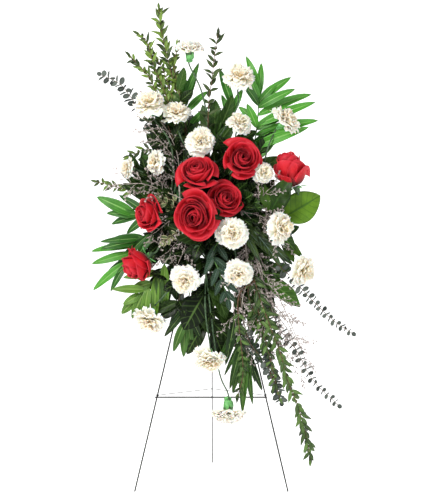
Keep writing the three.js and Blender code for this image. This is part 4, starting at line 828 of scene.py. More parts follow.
    {"route": [[190, 140, 54], [180, 94, 48], [174, 66, 44], [178, 46, 42]], "pairs": 15, "from": 0.36,
     "seed": 29, "spread": 0.66},
  ]},
  {"node": "myrtle_sprig_upper_right", "kind": "myrtle", "tone": "myrtleDark", "stems": [
    {"route": [[210, 198, 84], [208, 140, 88], [209, 99, 82], [212, 80, 76], [214, 60, 70], [218, 34, 62]],
     "pairs": 16, "from": 0.4, "seed": 31, "spread": 0.85, "taper": 0.15},
  ]},
  {"node": "myrtle_sprig_trailing", "kind": "myrtle", "tone": "myrtleShade", "stems": [
    {"route": [[236, 220, 98], [258, 292, 150], [270, 326, 160], [281, 355, 158], [288, 382, 152],
     [297, 403, 146], [303, 424, 138], [308, 444, 130], [310, 460, 124]], "pairs": 56, "from": 0.16,
     "seed": 41, "taper": 0.1, "spread": 0.62},
    {"route": [[238, 300, 156], [243, 368, 170], [238, 396, 172]], "pairs": 16, "from": 0.3, "seed": 45,
     "spread": 0.7},
    {"route": [[256, 300, 150], [268, 350, 150], [276, 384, 146]], "pairs": 20, "from": 0.2, "seed": 47,
     "spread": 0.7},
    {"route": [[248, 292, 142], [260, 330, 146], [270, 372, 144], [280, 398, 140]], "pairs": 24,
     "from": 0.15, "seed": 49, "spread": 0.7},
  ]},
  {"node": "myrtle_sprigs_left", "kind": "myrtle", "tone": "myrtleGreen", "stems": [
    {"route": [[180, 204, 52], [150, 196, 42], [120, 188, 36], [97, 182, 32]], "pairs": 9, "from": 0.5,
     "seed": 51, "spread": 0.8},
    {"route": [[166, 168, 50], [150, 149, 48], [129, 157, 46]], "pairs": 8, "from": 0.5, "seed": 55,
     "spread": 0.8},
  ]},
  {"node": "eucalyptus_stem_upper", "kind": "eucalyptus", "stems": [
    {"route": [[188, 200, 42], [166, 150, 32], [149, 122, 28], [132, 99, 26], [120, 84, 24], [101, 75, 22]],
     "pairs": 25, "from": 0.24, "seed": 61, "taper": 0.2},
  ]},
  {"node": "eucalyptus_stem_right", "kind": "eucalyptus", "stems": [
    {"route": [[242, 216, 92], [274, 260, 126], [292, 278, 130], [312, 300, 124], [334, 321, 116],
     [352, 333, 110]], "pairs": 21, "from": 0.36, "seed": 71, "taper": 0.5},
  ]},
  {"node": "eucalyptus_stems_lower", "kind": "eucalyptus", "stems": [
    {"route": [[232, 224, 86], [262, 290, 128], [281, 331, 134], [297, 351, 132], [312, 379, 126],
     [338, 405, 118]], "pairs": 23, "from": 0.38, "seed": 81, "taper": 0.5},
    {"route": [[240, 290, 138], [248, 338, 152], [261, 357, 150], [273, 376, 144], [281, 402, 138]],
     "pairs": 22, "from": 0.42, "seed": 85, "taper": 0.25},
  ]},
  {"node": "limonium_spray_left", "kind": "limonium", "stems": [
    {"route": [[194, 206, 96], [184, 200, 118], [166, 192, 124], [144, 184, 118], [126, 184, 112]],
     "twigs": 9, "from": 0.36, "seed": 91},
    {"route": [[176, 164, 88], [160, 140, 84], [150, 127, 80]], "twigs": 8, "from": 0.36, "seed": 95},
    {"route": [[182, 232, 116], [168, 252, 124]], "twigs": 6, "from": 0.4, "seed": 99},
    {"route": [[178, 180, 106], [162, 172, 112]], "twigs": 5, "from": 0.4, "seed": 101},
    {"route": [[176, 214, 122], [156, 232, 126]], "twigs": 5, "from": 0.5, "seed": 102},
    {"route": [[178, 158, 92], [168, 132, 88], [154, 114, 82]], "twigs": 8, "from": 0.3, "seed": 133},
    {"route": [[186, 240, 124], [178, 264, 132]], "twigs": 5, "from": 0.4, "seed": 137},
  ]},
  {"node": "limonium_spray_right", "kind": "limonium", "stems": [
    {"route": [[230, 210, 98], [254, 204, 128], [268, 190, 130]], "twigs": 7, "from": 0.4, "seed": 103},
    {"route": [[250, 244, 136], [262, 272, 142], [258, 310, 146], [250, 330, 148]], "twigs": 9, "from": 0.3,
     "seed": 107},
    {"route": [[262, 262, 122], [284, 308, 124], [304, 356, 116]], "twigs": 9, "from": 0.42, "seed": 111},
    {"route": [[258, 224, 130], [270, 218, 138]], "twigs": 5, "from": 0.5, "seed": 113},
    {"route": [[246, 262, 140], [234, 300, 150], [236, 326, 152]], "twigs": 7, "from": 0.4, "seed": 115},
    {"route": [[262, 280, 132], [278, 326, 132], [286, 352, 126]], "twigs": 7, "from": 0.5, "seed": 117},
    {"route": [[244, 212, 118], [264, 218, 134], [280, 240, 134]], "twigs": 7, "from": 0.4, "seed": 141},
    {"route": [[248, 270, 142], [242, 304, 150], [246, 342, 152]], "twigs": 9, "from": 0.3, "seed": 145},
    {"route": [[254, 290, 146], [266, 322, 148], [272, 348, 144]], "twigs": 8, "from": 0.3, "seed": 147},
    {"route": [[266, 290, 138], [284, 316, 138], [296, 340, 134]], "twigs": 9, "from": 0.3, "seed": 153},
    {"route": [[270, 300, 136], [290, 334, 134], [302, 372, 128]], "twigs": 8, "from": 0.4, "seed": 155},
  ]},
  {"node": "pittosporum_twigs", "kind": "pittosporum", "stems": [
    {"route": [[190, 210, 100], [176, 202, 122], [162, 194, 126]], "pairs": 4, "from": 0.45, "seed": 121},
    {"route": [[182, 226, 130], [164, 242, 142]], "pairs": 6, "from": 0.4, "seed": 125},
    {"route": [[178, 208, 130], [160, 200, 140]], "pairs": 5, "from": 0.4, "seed": 127},
  ]},
  {"node": "dark_greens_centre", "kind": "palm", "tone": "fern", "slot": "fern_dark", "stems": [
    {"route": [[214, 216, 96], [238, 222, 120], [250, 226, 134]],
     "leaves": [[291, 269, 138, 0.97, 27, 0, 0.06], [262, 262, 130, 0.7, 22, 0, 0.03],
     [278, 244, 132, 0.92, 24, 0, 0.0], [286, 262, 148, 0.96, 26, 0.2, 0.08],
     [272, 258, 152, 0.85, 22, -0.2, 0.04], [262, 246, 150, 0.7, 20, 0, 0.0]]},
    {"branch": 0.6, "route": [[214, 250, 152], [220, 274, 160], [228, 300, 158]],
     "leaves": [[206, 266, 160, 0.35, 18, 0, 0.8], [228, 262, 160, 0.35, 18, 0, 0.6],
     [206, 276, 164, 0.5, 18, 0, 0.9], [233, 272, 162, 0.5, 18, 0, 0.7], [210, 286, 164, 0.63, 18, 0, 0.8],
     [237, 282, 164, 0.63, 18, 0, 0.8], [215, 296, 162, 0.76, 17, 0, 0.7],
     [238, 293, 162, 0.76, 17, 0, 0.8], [221, 304, 160, 0.9, 16, 0, 0.8], [236, 303, 160, 0.9, 16, 0, 0.7],
     [230, 311, 158, 0.99, 16, 0, 0.8]]},
  ]},
]

greenStyles = filled({
    "sink": 0.2, "stems": "brownTwig", "turned": 1.1, "loose": 0.4, "tilt": 0.7, "spread": 0.9,
    "taper": 0.35, "edgeOn": False,
}, {
    "palm": {"stem": 2.4, "sink": -2, "stems": "freshStem", "slot": "palm_green"},
    "salal": {"stem": 2.1, "sink": -2, "slot": "salal_leaf"},
    "myrtle": {"stem": 1.6, "width": 11.5, "length": 40, "stems": "redTwig", "slot": "myrtle_leaf",
               "loose": 1.0},
    "eucalyptus": {"stem": 1.5, "width": 18, "length": 27, "slot": "eucalyptus_leaf", "tilt": 0.25,
                   "turned": 0.4, "loose": 0.7, "spread": 1.3, "edgeOn": True},
    "pittosporum": {"stem": 1.6, "width": 16, "length": 30, "slot": "pittosporum_leaf"},
    "limonium": {"stem": 1.6, "length": 3.5, "stems": "dryTwig", "slot": "sea_lavender"},
})
viewer, up = Vector((0, -1, 0.25)), Vector((0, 0, 1))
stemPlan = {"steps": 26, "branch": 0.25, "sides": 7, "wobble": 0.12, "spiral": 2.4}
pairPlan = {
    "last": 0.985, "lag": 0.7, "roll": 0.25, "rollSwing": 1.6, "open": 1.05, "closing": 0.3,
    "closingPower": 4, "spreadSwing": 0.7, "reachSwing": 0.6, "outward": 0.4, "edgeWidth": 0.5,
    "endLength": 0.55, "endWidth": 0.7, "spreadLess": 0.4, "reachLess": 0.6,
}
twigPlan = {
    "lengths": (22, 20), "turnSwing": 1.6, "lean": 0.9, "lastLean": 0.2, "sidelings": 6, "firstSide": 0.15,
    "sideStep": 0.25, "sideLength": 0.62, "sideLess": 0.08, "leadFan": 0.1, "sideFan": 0.75, "bow": 0.16,
    "thick": 0.5, "thinner": 0.06, "florets": 5, "firstFloret": 0.35, "floretSpin": 2.3, "floretLean": 0.8,
    "floretSizes": (0.75, 0.5), "floretWidth": 0.8,
}
# Small leaves that fill the gaps: how many grow on each stem, and how many round the foam. Their low tint
# paints them near their tone's dark colour, as painted shade in the gaps.
fillPlans = {
    "salal_branch_top": {"onStems": 5, "onFoam": 34, "faces": ("top", "front", "left"), "seed": 3},
    "salal_branch_lower_left": {"onStems": 6, "onFoam": 40, "faces": ("front", "bottom", "left"),
                                "seed": 7},
    "salal_branch_lower_right": {"onStems": 7, "onFoam": 34, "faces": ("front", "bottom", "right"),
                                 "seed": 11},
}
fillLook = {
    "lengths": (46, 28), "widths": (26, 14), "tint": 0.15, "sway": 0.5, "faceSway": 1.2, "first": 0.2,
    "reach": 0.75, "ahead": 0.7, "within": 0.92, "outward": 0.8, "forward": -0.25,
}
foamPlan = {"half": (115, 40, 55), "centre": (0, -45.6, -105)}
foamFaces = {
    "front": (0, -1, 0), "top": (0, 0, 1), "bottom": (0, 0, -1), "left": (-1, 0, 0), "right": (1, 0, 0),
}


def addLeaf(plant, style, base, tip, width, face, number, seed, tint=None, forms=(0, 3)):
    along = unit(tip - base)
    base = base + along * style["sink"] * milli
    length = (tip - base).length
    size = (width * milli, length, length)
    plant.add(base, along, face, size, pick=forms[0] + int(draw(number, seed + 11) * forms[1]),
              tint=draw(number, seed + 12) if tint is None else tint)


def listedLeaf(plant, style, stalk, number, px, py, forward, start, width, turn=0.0, tint=None):
    face = Matrix.Rotation(turn, 3, "Z") @ viewer
    addLeaf(plant, style, stalk.point(start), spot(px, py, forward), width, face, number, 5, tint)


def pairedLeaves(plant, style, stalk, rule):
    loose, seed = style["loose"], rule["seed"]
    taper, opening = rule.get("taper", style["taper"]), rule.get("spread", style["spread"])
    for pair in range(rule["pairs"]):
        share = rule["from"] + (pairPlan["last"] - rule["from"]) * (pair + pairPlan["lag"]) / rule["pairs"]
        base, ahead = stalk.point(share), stalk.heading(share)
        across = unit(ahead.cross(viewer))
        size = 1 - taper * share
        for hand in (1, -1):
            index = pair * 2 + (hand + 1) // 2
            roll = hand * (style["turned"] if pair % 2 else pairPlan["roll"])
            roll += pairPlan["rollSwing"] * loose * (draw(index, seed) - 0.5)
            out = Matrix.Rotation(roll, 3, ahead) @ (across * hand)
            spread = opening * (pairPlan["open"] - pairPlan["closing"] * share ** pairPlan["closingPower"])
            lift = draw(index, seed + 1) - pairPlan["spreadLess"]
            spread += pairPlan["spreadSwing"] * loose * lift
            swing = 1 + pairPlan["reachSwing"] * loose * (draw(index, seed + 2) - pairPlan["reachLess"])
            reach = style["length"] * size * swing * milli
            tip = base + swung(ahead, out, spread) * reach
            face = viewer + ahead * style["tilt"] + across * pairPlan["outward"] * hand
            broad = style["width"] * size
            if style["edgeOn"] and pair % 2 == (hand + 1) // 2:
                broad, face = broad * pairPlan["edgeWidth"], face + ahead
            addLeaf(plant, style, base, tip, broad, face, index, seed)
    ahead = stalk.heading(1)
    base = stalk.point(1) - ahead * style["stem"] * milli
    tip = base + ahead * style["length"] * pairPlan["endLength"] * milli
    addLeaf(plant, style, base, tip, style["width"] * pairPlan["endWidth"], viewer, 99, seed)


def floretTwigs(plant, style, stalk, rule):
    for i in range(rule["twigs"] + 1):
        share = rule["from"] + (1 - rule["from"]) * i / rule["twigs"]
        base, ahead = stalk.point(share), stalk.heading(share)
        turn = (math.pi if i % 2 else 0) + twigPlan["turnSwing"] * (draw(i, rule["seed"]) - 0.5)
        out = Matrix.Rotation(turn, 3, ahead) @ unit(ahead.cross(viewer))
        lean = twigPlan["lastLean"] if i == rule["twigs"] else twigPlan["lean"]
        reach = drawn(twigPlan["lengths"], i, rule["seed"] + 3) * milli
        addTwig(plant, style, base, swung(ahead, out, lean), reach, i * 10 + rule["seed"])


def addTwig(plant, style, base, way, reach, seed):
    side = unit(way.cross(viewer))
    other = way.cross(side)
    for sideling in range(twigPlan["sidelings"] + 1):
        lead = sideling == 0
        share = twigPlan["firstSide"] + twigPlan["sideStep"] * sideling
        start = base if lead else base + way * reach * share
        turn = sideling * stemPlan["spiral"] + draw(sideling, seed) * 2
        fan = twigPlan["leadFan"] if lead else twigPlan["sideFan"]
        heading = unit(way + swung(side, other, turn) * fan)
        length = reach * (1.0 if lead else twigPlan["sideLength"] - twigPlan["sideLess"] * sideling)
        bow = (side * math.sin(turn) - other * math.cos(turn)) * length * twigPlan["bow"]

        def along(t):
            return start + heading * length * t + bow * math.sin(math.pi * t)

        plant.run([along(k / 4) for k in range(5)],
                  [style["stem"] * milli * (twigPlan["thick"] - twigPlan["thinner"] * k) for k in range(5)])
        for floret in range(twigPlan["florets"]):
            first = twigPlan["firstFloret"]
            t = first + (1 - first) * (floret + 0.5) / twigPlan["florets"]
            lean = swung(side, other, floret * twigPlan["floretSpin"] + seed) * twigPlan["floretLean"]
            size = style["length"] * milli * drawn(twigPlan["floretSizes"], floret, seed + sideling)
            broad = size * twigPlan["floretWidth"]
            plant.add(along(t), heading + lean, viewer, (broad, size, broad), pick=floret,
                      tint=draw(floret, seed + 1))


def fillLeaf(plant, style, base, way, number, seed):
    length = drawn(fillLook["lengths"], number, seed) * milli
    width = drawn(fillLook["widths"], number, seed + 1)
    sway = Vector([draw(number, seed + k) - 0.5 for k in (2, 3, 4)])
    tip = base + unit(way + sway * fillLook["sway"]) * length
    forms = leafForms["salal"]["variants"], leafForms["filling"]["variants"]
    # the low tint paints each fill leaf near black: painted shade
    addLeaf(plant, style, base, tip, width, viewer + sway * fillLook["faceSway"], number, seed,
            fillLook["tint"] * draw(number, seed + 5), forms)


def fillStem(plant, style, stalk, count, seed):
    for i in range(count):
        share = fillLook["first"] + fillLook["reach"] * (i + 0.5) / count
        ahead = stalk.heading(share)
        out = Matrix.Rotation(i * stemPlan["spiral"] + seed, 3, ahead) @ unit(ahead.cross(viewer))
        fillLeaf(plant, style, stalk.point(share), ahead * fillLook["ahead"] + out, i, seed)


def fillFoam(plant, style, plan):
    turned = onLegs.to_3x3()
    for i in range(plan["onFoam"]):
        normal = Vector(foamFaces[plan["faces"][i % len(plan["faces"])]])
        spread = Vector([2 * draw(i, plan["seed"] + k) - 1 for k in (20, 21, 22)])
        place = Vector([c + h * (n if n else s * fillLook["within"])
                        for c, h, n, s in zip(foamPlan["centre"], foamPlan["half"], normal, spread)])
        way = turned @ (normal * fillLook["outward"] + Vector((spread.x, fillLook["forward"], spread.z)))
        fillLeaf(plant, style, onLegs @ (place * milli), way, i, plan["seed"] + 40)


def growGreen(plan):
    style, fill = greenStyles[plan["kind"]], fillPlans.get(plan["node"])
    plant, first = Plant(), None
    for number, stem in enumerate(plan["stems"]):
        places = [spot(*place) for place in stem["route"]]
        if first:
            places.insert(0, first.point(stem.get("branch", stemPlan["branch"])))
        stalk = Stalk(places, style["stem"] * milli)
        stalk.tube(plant, stemPlan["steps"])
        first = first or stalk
        for i, listed in enumerate(stem.get("leaves", [])):
            listedLeaf(plant, style, stalk, number * 20 + i, *listed)
        if "pairs" in stem:
            pairedLeaves(plant, style, stalk, stem)
        if "twigs" in stem:
            floretTwigs(plant, style, stalk, stem)
        if fill:
            fillStem(plant, style, stalk, stem.get("fill", fill["onStems"]), number + 50)
    if fill:
        fillFoam(plant, style, fill)
    mesh = plant.grow(leafGroups[plan["kind"]], plan.get("tone", plan["kind"]), style["stems"],
                      stemPlan["sides"], stemPlan["wobble"], seed=len(pieceName(plan["node"])))
    addPiece(plan["node"], mesh)


for plan in greenery:
    growGreen(plan)
print("stage: greenery")


# Blooms: a place, the way the head faces in degrees, a size, and for roses how open it is. A stretch scales
# a rose along its own three axes. The stem passes the stalk's place, and its neck is the straight length
# under the head. For carnations, cup, full, calm and warm scale how far the petals tilt, how many there
# are, how much they sway and how warm their heart looks, a warmth that is partly painted shade, and calyx
# scales the green cup.
roses = [
  {"at": [197, 172, 168], "turn": -15, "rise": 44, "size": 1.12, "open": 1},
  {"at": [242, 158, 166], "turn": 12, "rise": 14, "size": 1.02, "open": 1, "stretch": [0.97, 1.04, 1]},
  {"at": [195, 216, 214], "turn": -14, "rise": -8, "size": 1.16, "open": 1, "stretch": [0.97, 1.1, 1]},
  {"at": [225, 199, 160], "turn": 18, "rise": 16, "size": 1.0, "open": 1},
  {"at": [290, 170, 108], "turn": -96, "rise": 70, "size": 1.24, "open": 0.72, "stretch": [0.86, 0.9, 1.42],
    "stalk": [294, 204, 60], "neck": 14},
  {"at": [148, 214, 142], "turn": -55, "rise": 0, "size": 1.0, "open": 0.9},
  {"at": [137, 265, 132], "turn": -70, "rise": -36, "size": 1.24, "open": 0.62},
]

carnations = [
  {"at": [190, 46, 70], "turn": 10, "rise": 74, "size": 1.02, "cup": 0.66, "stalk": [205, 105, 80],
    "calyx": 1.7, "full": 1.4, "calm": 0.3, "warm": 0},
  {"at": [240, 73, 92], "turn": 10, "rise": 54, "size": 1.1, "stalk": [236, 110, 90]},
  {"at": [148, 99, 112], "turn": -24, "rise": 58, "size": 1.14, "stalk": [172, 150, 104]},
  {"at": [176, 109, 100], "turn": -5, "rise": 62, "size": 0.98, "stalk": [186, 146, 92]},
  {"at": [201, 139, 142], "turn": 0, "rise": 30, "size": 1.02, "stalk": [204, 170, 104]},
  {"at": [240, 120, 116], "turn": 30, "rise": 60, "size": 0.88, "stalk": [232, 150, 98]},
  {"at": [289, 118, 98], "turn": 62, "rise": 40, "size": 1.08, "cup": 0.85,
    "stalk": [265, 160, 100]},
  {"at": [152, 162, 128], "turn": -60, "rise": 8, "size": 0.84, "stalk": [176, 180, 104]},
  {"at": [125, 168, 100], "turn": -66, "rise": 6, "size": 0.68, "stalk": [160, 184, 88]},
  {"at": [265, 172, 150], "turn": 32, "rise": 12, "size": 0.76, "stalk": [250, 186, 112]},
  {"at": [233, 234, 192], "turn": 8, "rise": -6, "size": 1.06, "stalk": [228, 222, 140]},
  {"at": [285, 228, 168], "turn": 54, "rise": 2, "size": 1.06, "stalk": [262, 222, 132]},
  {"at": [239, 276, 172], "turn": 6, "rise": -16, "size": 0.98, "stalk": [232, 246, 132]},
  {"at": [307, 271, 138], "turn": 62, "rise": -8, "size": 1.0, "stalk": [272, 244, 116]},
  {"at": [184, 282, 172], "turn": -14, "rise": -18, "size": 1.0, "stalk": [196, 246, 136]},
  {"at": [148, 324, 128], "turn": -36, "rise": -58, "size": 1.14, "stalk": [160, 300, 132]},
  {"at": [210, 364, 176], "turn": 0, "rise": -56, "size": 1.06, "stalk": [205, 300, 142]},
  {"at": [228, 417, 172], "turn": 0, "rise": -76, "size": 1.26, "cup": 0.74, "stalk": [218, 366, 150],
    "calyx": 1.5, "full": 1.4, "calm": 0.3, "warm": 0},
]

stemGroups = [
  {"node": "bloom_stems_upper", "start": [212, 195, 70], "blooms": [["carnation", 0],
    ["carnation", 1, 0.3], ["carnation", 3, 0.24], ["carnation", 4, 0.16],
    ["carnation", 5, 0.2]]},
  {"node": "bloom_stems_left", "start": [178, 208, 78], "blooms": [["rose", 5], ["rose", 6, 0.5],
    ["carnation", 2, 0.42], ["carnation", 7, 0.54], ["carnation", 8, 0.48]]},
  {"node": "bloom_stems_right", "start": [246, 206, 80], "blooms": [["rose", 4],
    ["carnation", 6, 0.24], ["carnation", 9, 0.3], ["carnation", 11, 0.2],
    ["carnation", 13, 0.26]]},
  {"node": "bloom_stems_middle", "start": [212, 207, 84], "blooms": [["rose", 2], ["rose", 0, 0.42],
    ["rose", 1, 0.34], ["rose", 3, 0.5], ["carnation", 10, 0.58]]},
  {"node": "bloom_stems_lower", "start": [210, 220, 88], "blooms": [["carnation", 16],
    ["carnation", 12, 0.22], ["carnation", 14, 0.28], ["carnation", 15, 0.2],
    ["carnation", 17, 0.4]]},
]

# Petals. A rose petal's profile has four places, out from the axis and up, for petals from the heart (0) to
# the outermost (1). A carnation's layer has its petals, their tilt, length and width, and how warm they are;
# that warmth is partly painted shade at the heart.
rosePlan = {
    "petals": 25, "fewer": (0.65, 0.35), "buds": ((0.45, 0.62), (0.72, 1.0)), "thickness": 0.5, "rows": 12,
    "columns": 14, "radius": 54, "narrow": (0.4, 0.6), "height": 48, "wrap": (100, 58),
    "wrapSwing": (0.86, 0.28), "golden": 137.508, "turnSwing": 0.5, "swell": (0.45, 1.25), "lap": 0.09,
    "ripple": 1.5, "ripples": (3.2, 1.5), "uneven": (0.05, 0.12), "round": (0.2, 2.6), "rim": (0.66, 1.8),
    "point": 0.10, "pointed": (1.6, 0.4, 1.5), "lip": 10.0, "lipFrom": 0.15, "lipSwing": (0.45, 1.0),
    "lipSide": 0.5, "lipOut": (0.20, 0.75, 1.4), "lipDown": (0.10, 1.15, 1.5), "sway": 0.22,
    "tint": (0.25, 0.5, 0.25), "heartFade": 1.6, "wavePhase": 6.28, "waveLeast": 0.4,
    "profiles": [
        [0.0, [[2, 3], [11, 8], [9, 36], [3, 46]]],
        [0.3, [[3, 2], [20, 6], [19, 36], [14, 50]]],
        [0.6, [[4, 1], [27, 3], [31, 30], [30, 45]]],
        [0.8, [[4, 0], [32, 0], [39, 26], [42, 37]]],
        [1.0, [[5, 0], [34, -3], [46, 14], [54, 17]]],
    ],
}


def rosePetal(plan, share, turn, number, seed):
    keys = [key for key, _ in plan["profiles"]]
    flat = np.array([profile for _, profile in plan["profiles"]], dtype=float).reshape(len(keys), -1)
    a, b, c, d = np.array([np.interp(share, keys, column) for column in flat.T]).reshape(4, 2)
    v, u = np.mgrid[0:1:plan["rows"] * 1j, -1:1:plan["columns"] * 1j]
    off = np.abs(u)
    least, more = plan["uneven"]
    tip = 1 + (least + more * share) * (draw(number, seed) - 0.5)
    start, power = plan["rim"]
    rim = rising(v, start) ** power
    grows, less, sharp = plan["pointed"]
    point = plan["point"] * np.clip(share * grows - less, 0, 1) * rim * (1 - off) ** sharp
    depth, power = plan["round"]
    along = v * (1 - depth * off ** power) * tip + point
    t = along[..., None]
    places = a * (1 - t) ** 3 + 3 * b * t * (1 - t) ** 2 + 3 * c * t ** 2 * (1 - t) + d * t ** 3
    r, z = places[..., 0], places[..., 1]
    lip = plan["lip"] * rising(share, plan["lipFrom"]) * drawn(plan["lipSwing"], number, seed + 1)
    side = 1 + plan["lipSide"] * np.sign(u) * (draw(number, seed + 5) - 0.5)
    base, edge, power = plan["lipOut"]
    r = r + rim * lip * side * (base + edge * off ** power)
    base, edge, power = plan["lipDown"]
    z = z - rim * lip * side * (base + edge * off ** power)
    sway = plan["sway"] * share * (draw(number, seed + 6) - 0.5)
    r, z = r + z * sway, z - r * sway
    half = math.radians(np.interp(share, [0, 1], plan["wrap"])) * drawn(plan["wrapSwing"], number, seed + 2)
    foot, quick = plan["swell"]
    angle = turn + u * half * (foot + (1 - foot) * np.sin(np.clip(v * quick, 0, 1) * math.pi / 2))
    phase = draw(number, seed + 4) * plan["wavePhase"]
    wave = np.sin(u * drawn(plan["ripples"], number, seed + 3) + phase)
    r = r * (1 + plan["lap"] * u) + plan["ripple"] * v ** 2 * wave * (plan["waveLeast"] + share)
    return np.stack([r * np.cos(angle), r * np.sin(angle), z], axis=-1)


def tallness(opened):  # a bud stands taller than an open rose
    return 1.35 - 0.35 * opened


def roseParts(plan, opened, seed):
    top = float(np.interp(opened, *plan["buds"]))
    least, more = plan["fewer"]
    petals, count = [], int(plan["petals"] * (least + more * top))
    base, swing, outer = plan["tint"]
    for number in range(count):
        share = (number + 0.5) / count * top
        turn = math.radians(plan["golden"]) * number + plan["turnSwing"] * draw(number, seed + 8)
        tint = base + swing * draw(number, seed + 9) + outer * share
        # heart marks the inner petals for painted shade in the rose's centre
        heart = max(0.0, 1 - share * plan["heartFade"])
        petals.append((rosePetal(plan, share, turn, number, seed), tint, heart))
    reach = np.percentile([np.hypot(places[..., 0], places[..., 1]).max() for places, _, _ in petals], 90)
    least, more = plan["narrow"]
    wide = plan["radius"] * (least + more * opened) / reach
    scale = (wide, wide, tallness(opened))
    return [sheetPart((places * scale * milli)[:, ::-1], plan["thickness"] * milli, tint, heart)
            for places, tint, heart in petals]


carnationPlan = {
    "layers": [
        [6, 92, 39, 43, 0.0], [7, 74, 37, 39, 0.1], [7, 56, 35, 36, 0.25],
        [6, 37, 34, 32, 0.55], [5, 18, 33, 26, 0.9], [4, 6, 31, 21, 0.8],
    ],
    "height": 34, "variants": 6, "rows": 6, "columns": 11, "thickness": 0.016, "claw": 0.16,
    "opening": (0.1, 0.6), "dense": 0.75, "rimFrom": 0.75, "teeth": 6, "toothStep": 2.7,
    "toothDepths": (0.05, 0.035), "fineTeeth": 17, "corners": (0.2, 2.2), "ruffleDepths": (0.05, 0.08),
    "ruffleFrom": 0.35, "rufflePower": 1.4, "ruffles": (5.0, 2.0), "ruffleStep": 1.9, "fineRuffles": 11,
    "fineShare": 0.5, "back": 0.14, "backLeast": 0.6, "arch": 0.10, "pinch": 0.05, "pinches": 9,
    "uneven": 0.32, "smaller": 0.55, "swing": 24, "turnSwing": 0.5, "spinSwing": 0.5, "seat": 2.5,
    "picks": 60, "wobble": 0.1,
}


def fanMesh(plan, number):  # one carnation petal: a narrow claw, then a fan with a notched, ruffled rim
    v, u = np.mgrid[0:1:plan["rows"] * 1j, -1:1:plan["columns"] * 1j]
    v = v ** plan["dense"]
    opened = rising(v, *plan["opening"])
    width = plan["claw"] + (1 - plan["claw"]) * opened ** 2 * (3 - 2 * opened)
    rim = rising(v, plan["rimFrom"])
    deep, fine = plan["toothDepths"]
    tooth = (deep * np.sin(u * math.pi * plan["teeth"] + number)
             + fine * np.sin(u * plan["fineTeeth"] + number * plan["toothStep"]))
    depth, power = plan["corners"]
    y = v * (1 - depth * np.abs(u) ** power * v) + tooth * rim
    deep = drawn(plan["ruffleDepths"], number, 21) * rising(v, plan["ruffleFrom"]) ** plan["rufflePower"]
    wave = deep * (np.sin(u * drawn(plan["ruffles"], number, 22) + number * plan["ruffleStep"])
                   + plan["fineShare"] * np.sin(u * plan["fineRuffles"] + number + v * 3))
    bend = -plan["back"] * v ** 3 * (plan["backLeast"] + draw(number, 24)) + plan["arch"] * v * (1 - v)
    x = u * width / 2 * (1 - plan["pinch"] * np.sin(u * plan["pinches"] + number) * v)
    return meshOf(f"fan{number}", [sheetPart(np.stack([x, y, bend + wave], axis=-1), plan["thickness"])])


fans = [fanMesh(carnationPlan, i) for i in range(carnationPlan["variants"])]
leafGroups["carnation"] = collectionOf("carnationPetals", fans)


def bloomFrame(bloom, height):  # the turn and the foot of a bloom
    turn, rise = math.radians(bloom["turn"]), math.radians(bloom["rise"])
    z = Vector((math.sin(turn) * math.cos(rise), -math.cos(turn) * math.cos(rise), math.sin(rise)))
    x = unit(up.cross(z))
    rotation = Matrix((x, z.cross(x), z)).transposed()
    tall = tallness(bloom.get("open", 1)) * bloom.get("stretch", (1, 1, 1))[2]
    return rotation, spot(*bloom["at"]) - z * height * bloom["size"] * tall * 0.5 * milli


def addRose(bloom, number):
    rotation, foot = bloomFrame(bloom, rosePlan["height"])
    mesh = meshOf("rosePetals", roseParts(rosePlan, bloom["open"], number * 17 + 3))
    mesh.transform(Matrix.Diagonal((*bloom.get("stretch", (1, 1, 1)), 1)))
    mesh.transform(Matrix.Translation(foot) @ (rotation * bloom["size"]).to_4x4())
    addPiece(f"rose_head_{number + 1}", mesh, finish="roseRed")


def addCarnation(plan, bloom, number):
    rotation, foot = bloomFrame(bloom, plan["height"])
    plant = Plant()
    seed, calm = number * 13 + 5, bloom.get("calm", 1)
    for layer, (petals, tilt, length, width, warmth) in enumerate(plan["layers"]):
        count = round(petals * bloom.get("full", 1))
        for i in range(count):
            index = layer * 20 + i
            turn = (i + 0.5 * (layer % 2) + plan["turnSwing"] * draw(index, seed)) / count * 2 * math.pi
            lean = tilt * bloom.get("cup", 1) + plan["swing"] * calm * (draw(index, seed + 1) - 0.5)
            lean = math.radians(lean)
            out = Vector((math.cos(turn), math.sin(turn), 0))
            along, face = swung(up, out, lean), up * math.sin(lean) - out * math.cos(lean)
            grown = 1 + plan["uneven"] * calm * (draw(index, seed + 2) - plan["smaller"])
            grown = grown * bloom["size"] * milli
            spin = Matrix.Rotation(plan["spinSwing"] * (draw(index, seed + 3) - 0.5), 3, along)
            plant.add(foot + rotation @ (out * plan["seat"]) * bloom["size"] * milli, rotation @ along,
                      rotation @ (spin @ face), (width * grown, length * grown, length * grown),
                      pick=int(draw(index, seed + 4) * plan["picks"]), tint=draw(index, seed + 5),
                      heart=warmth * bloom.get("warm", 1))
    mesh = plant.grow(leafGroups["carnation"], "carnationWhite", None, wobble=plan["wobble"], seed=seed)
    addPiece(f"carnation_head_{number + 1}", mesh)


for number, bloom in enumerate(roses):
    addRose(bloom, number)
for number, bloom in enumerate(carnations):
    addCarnation(carnationPlan, bloom, number)
print("stage: blooms")


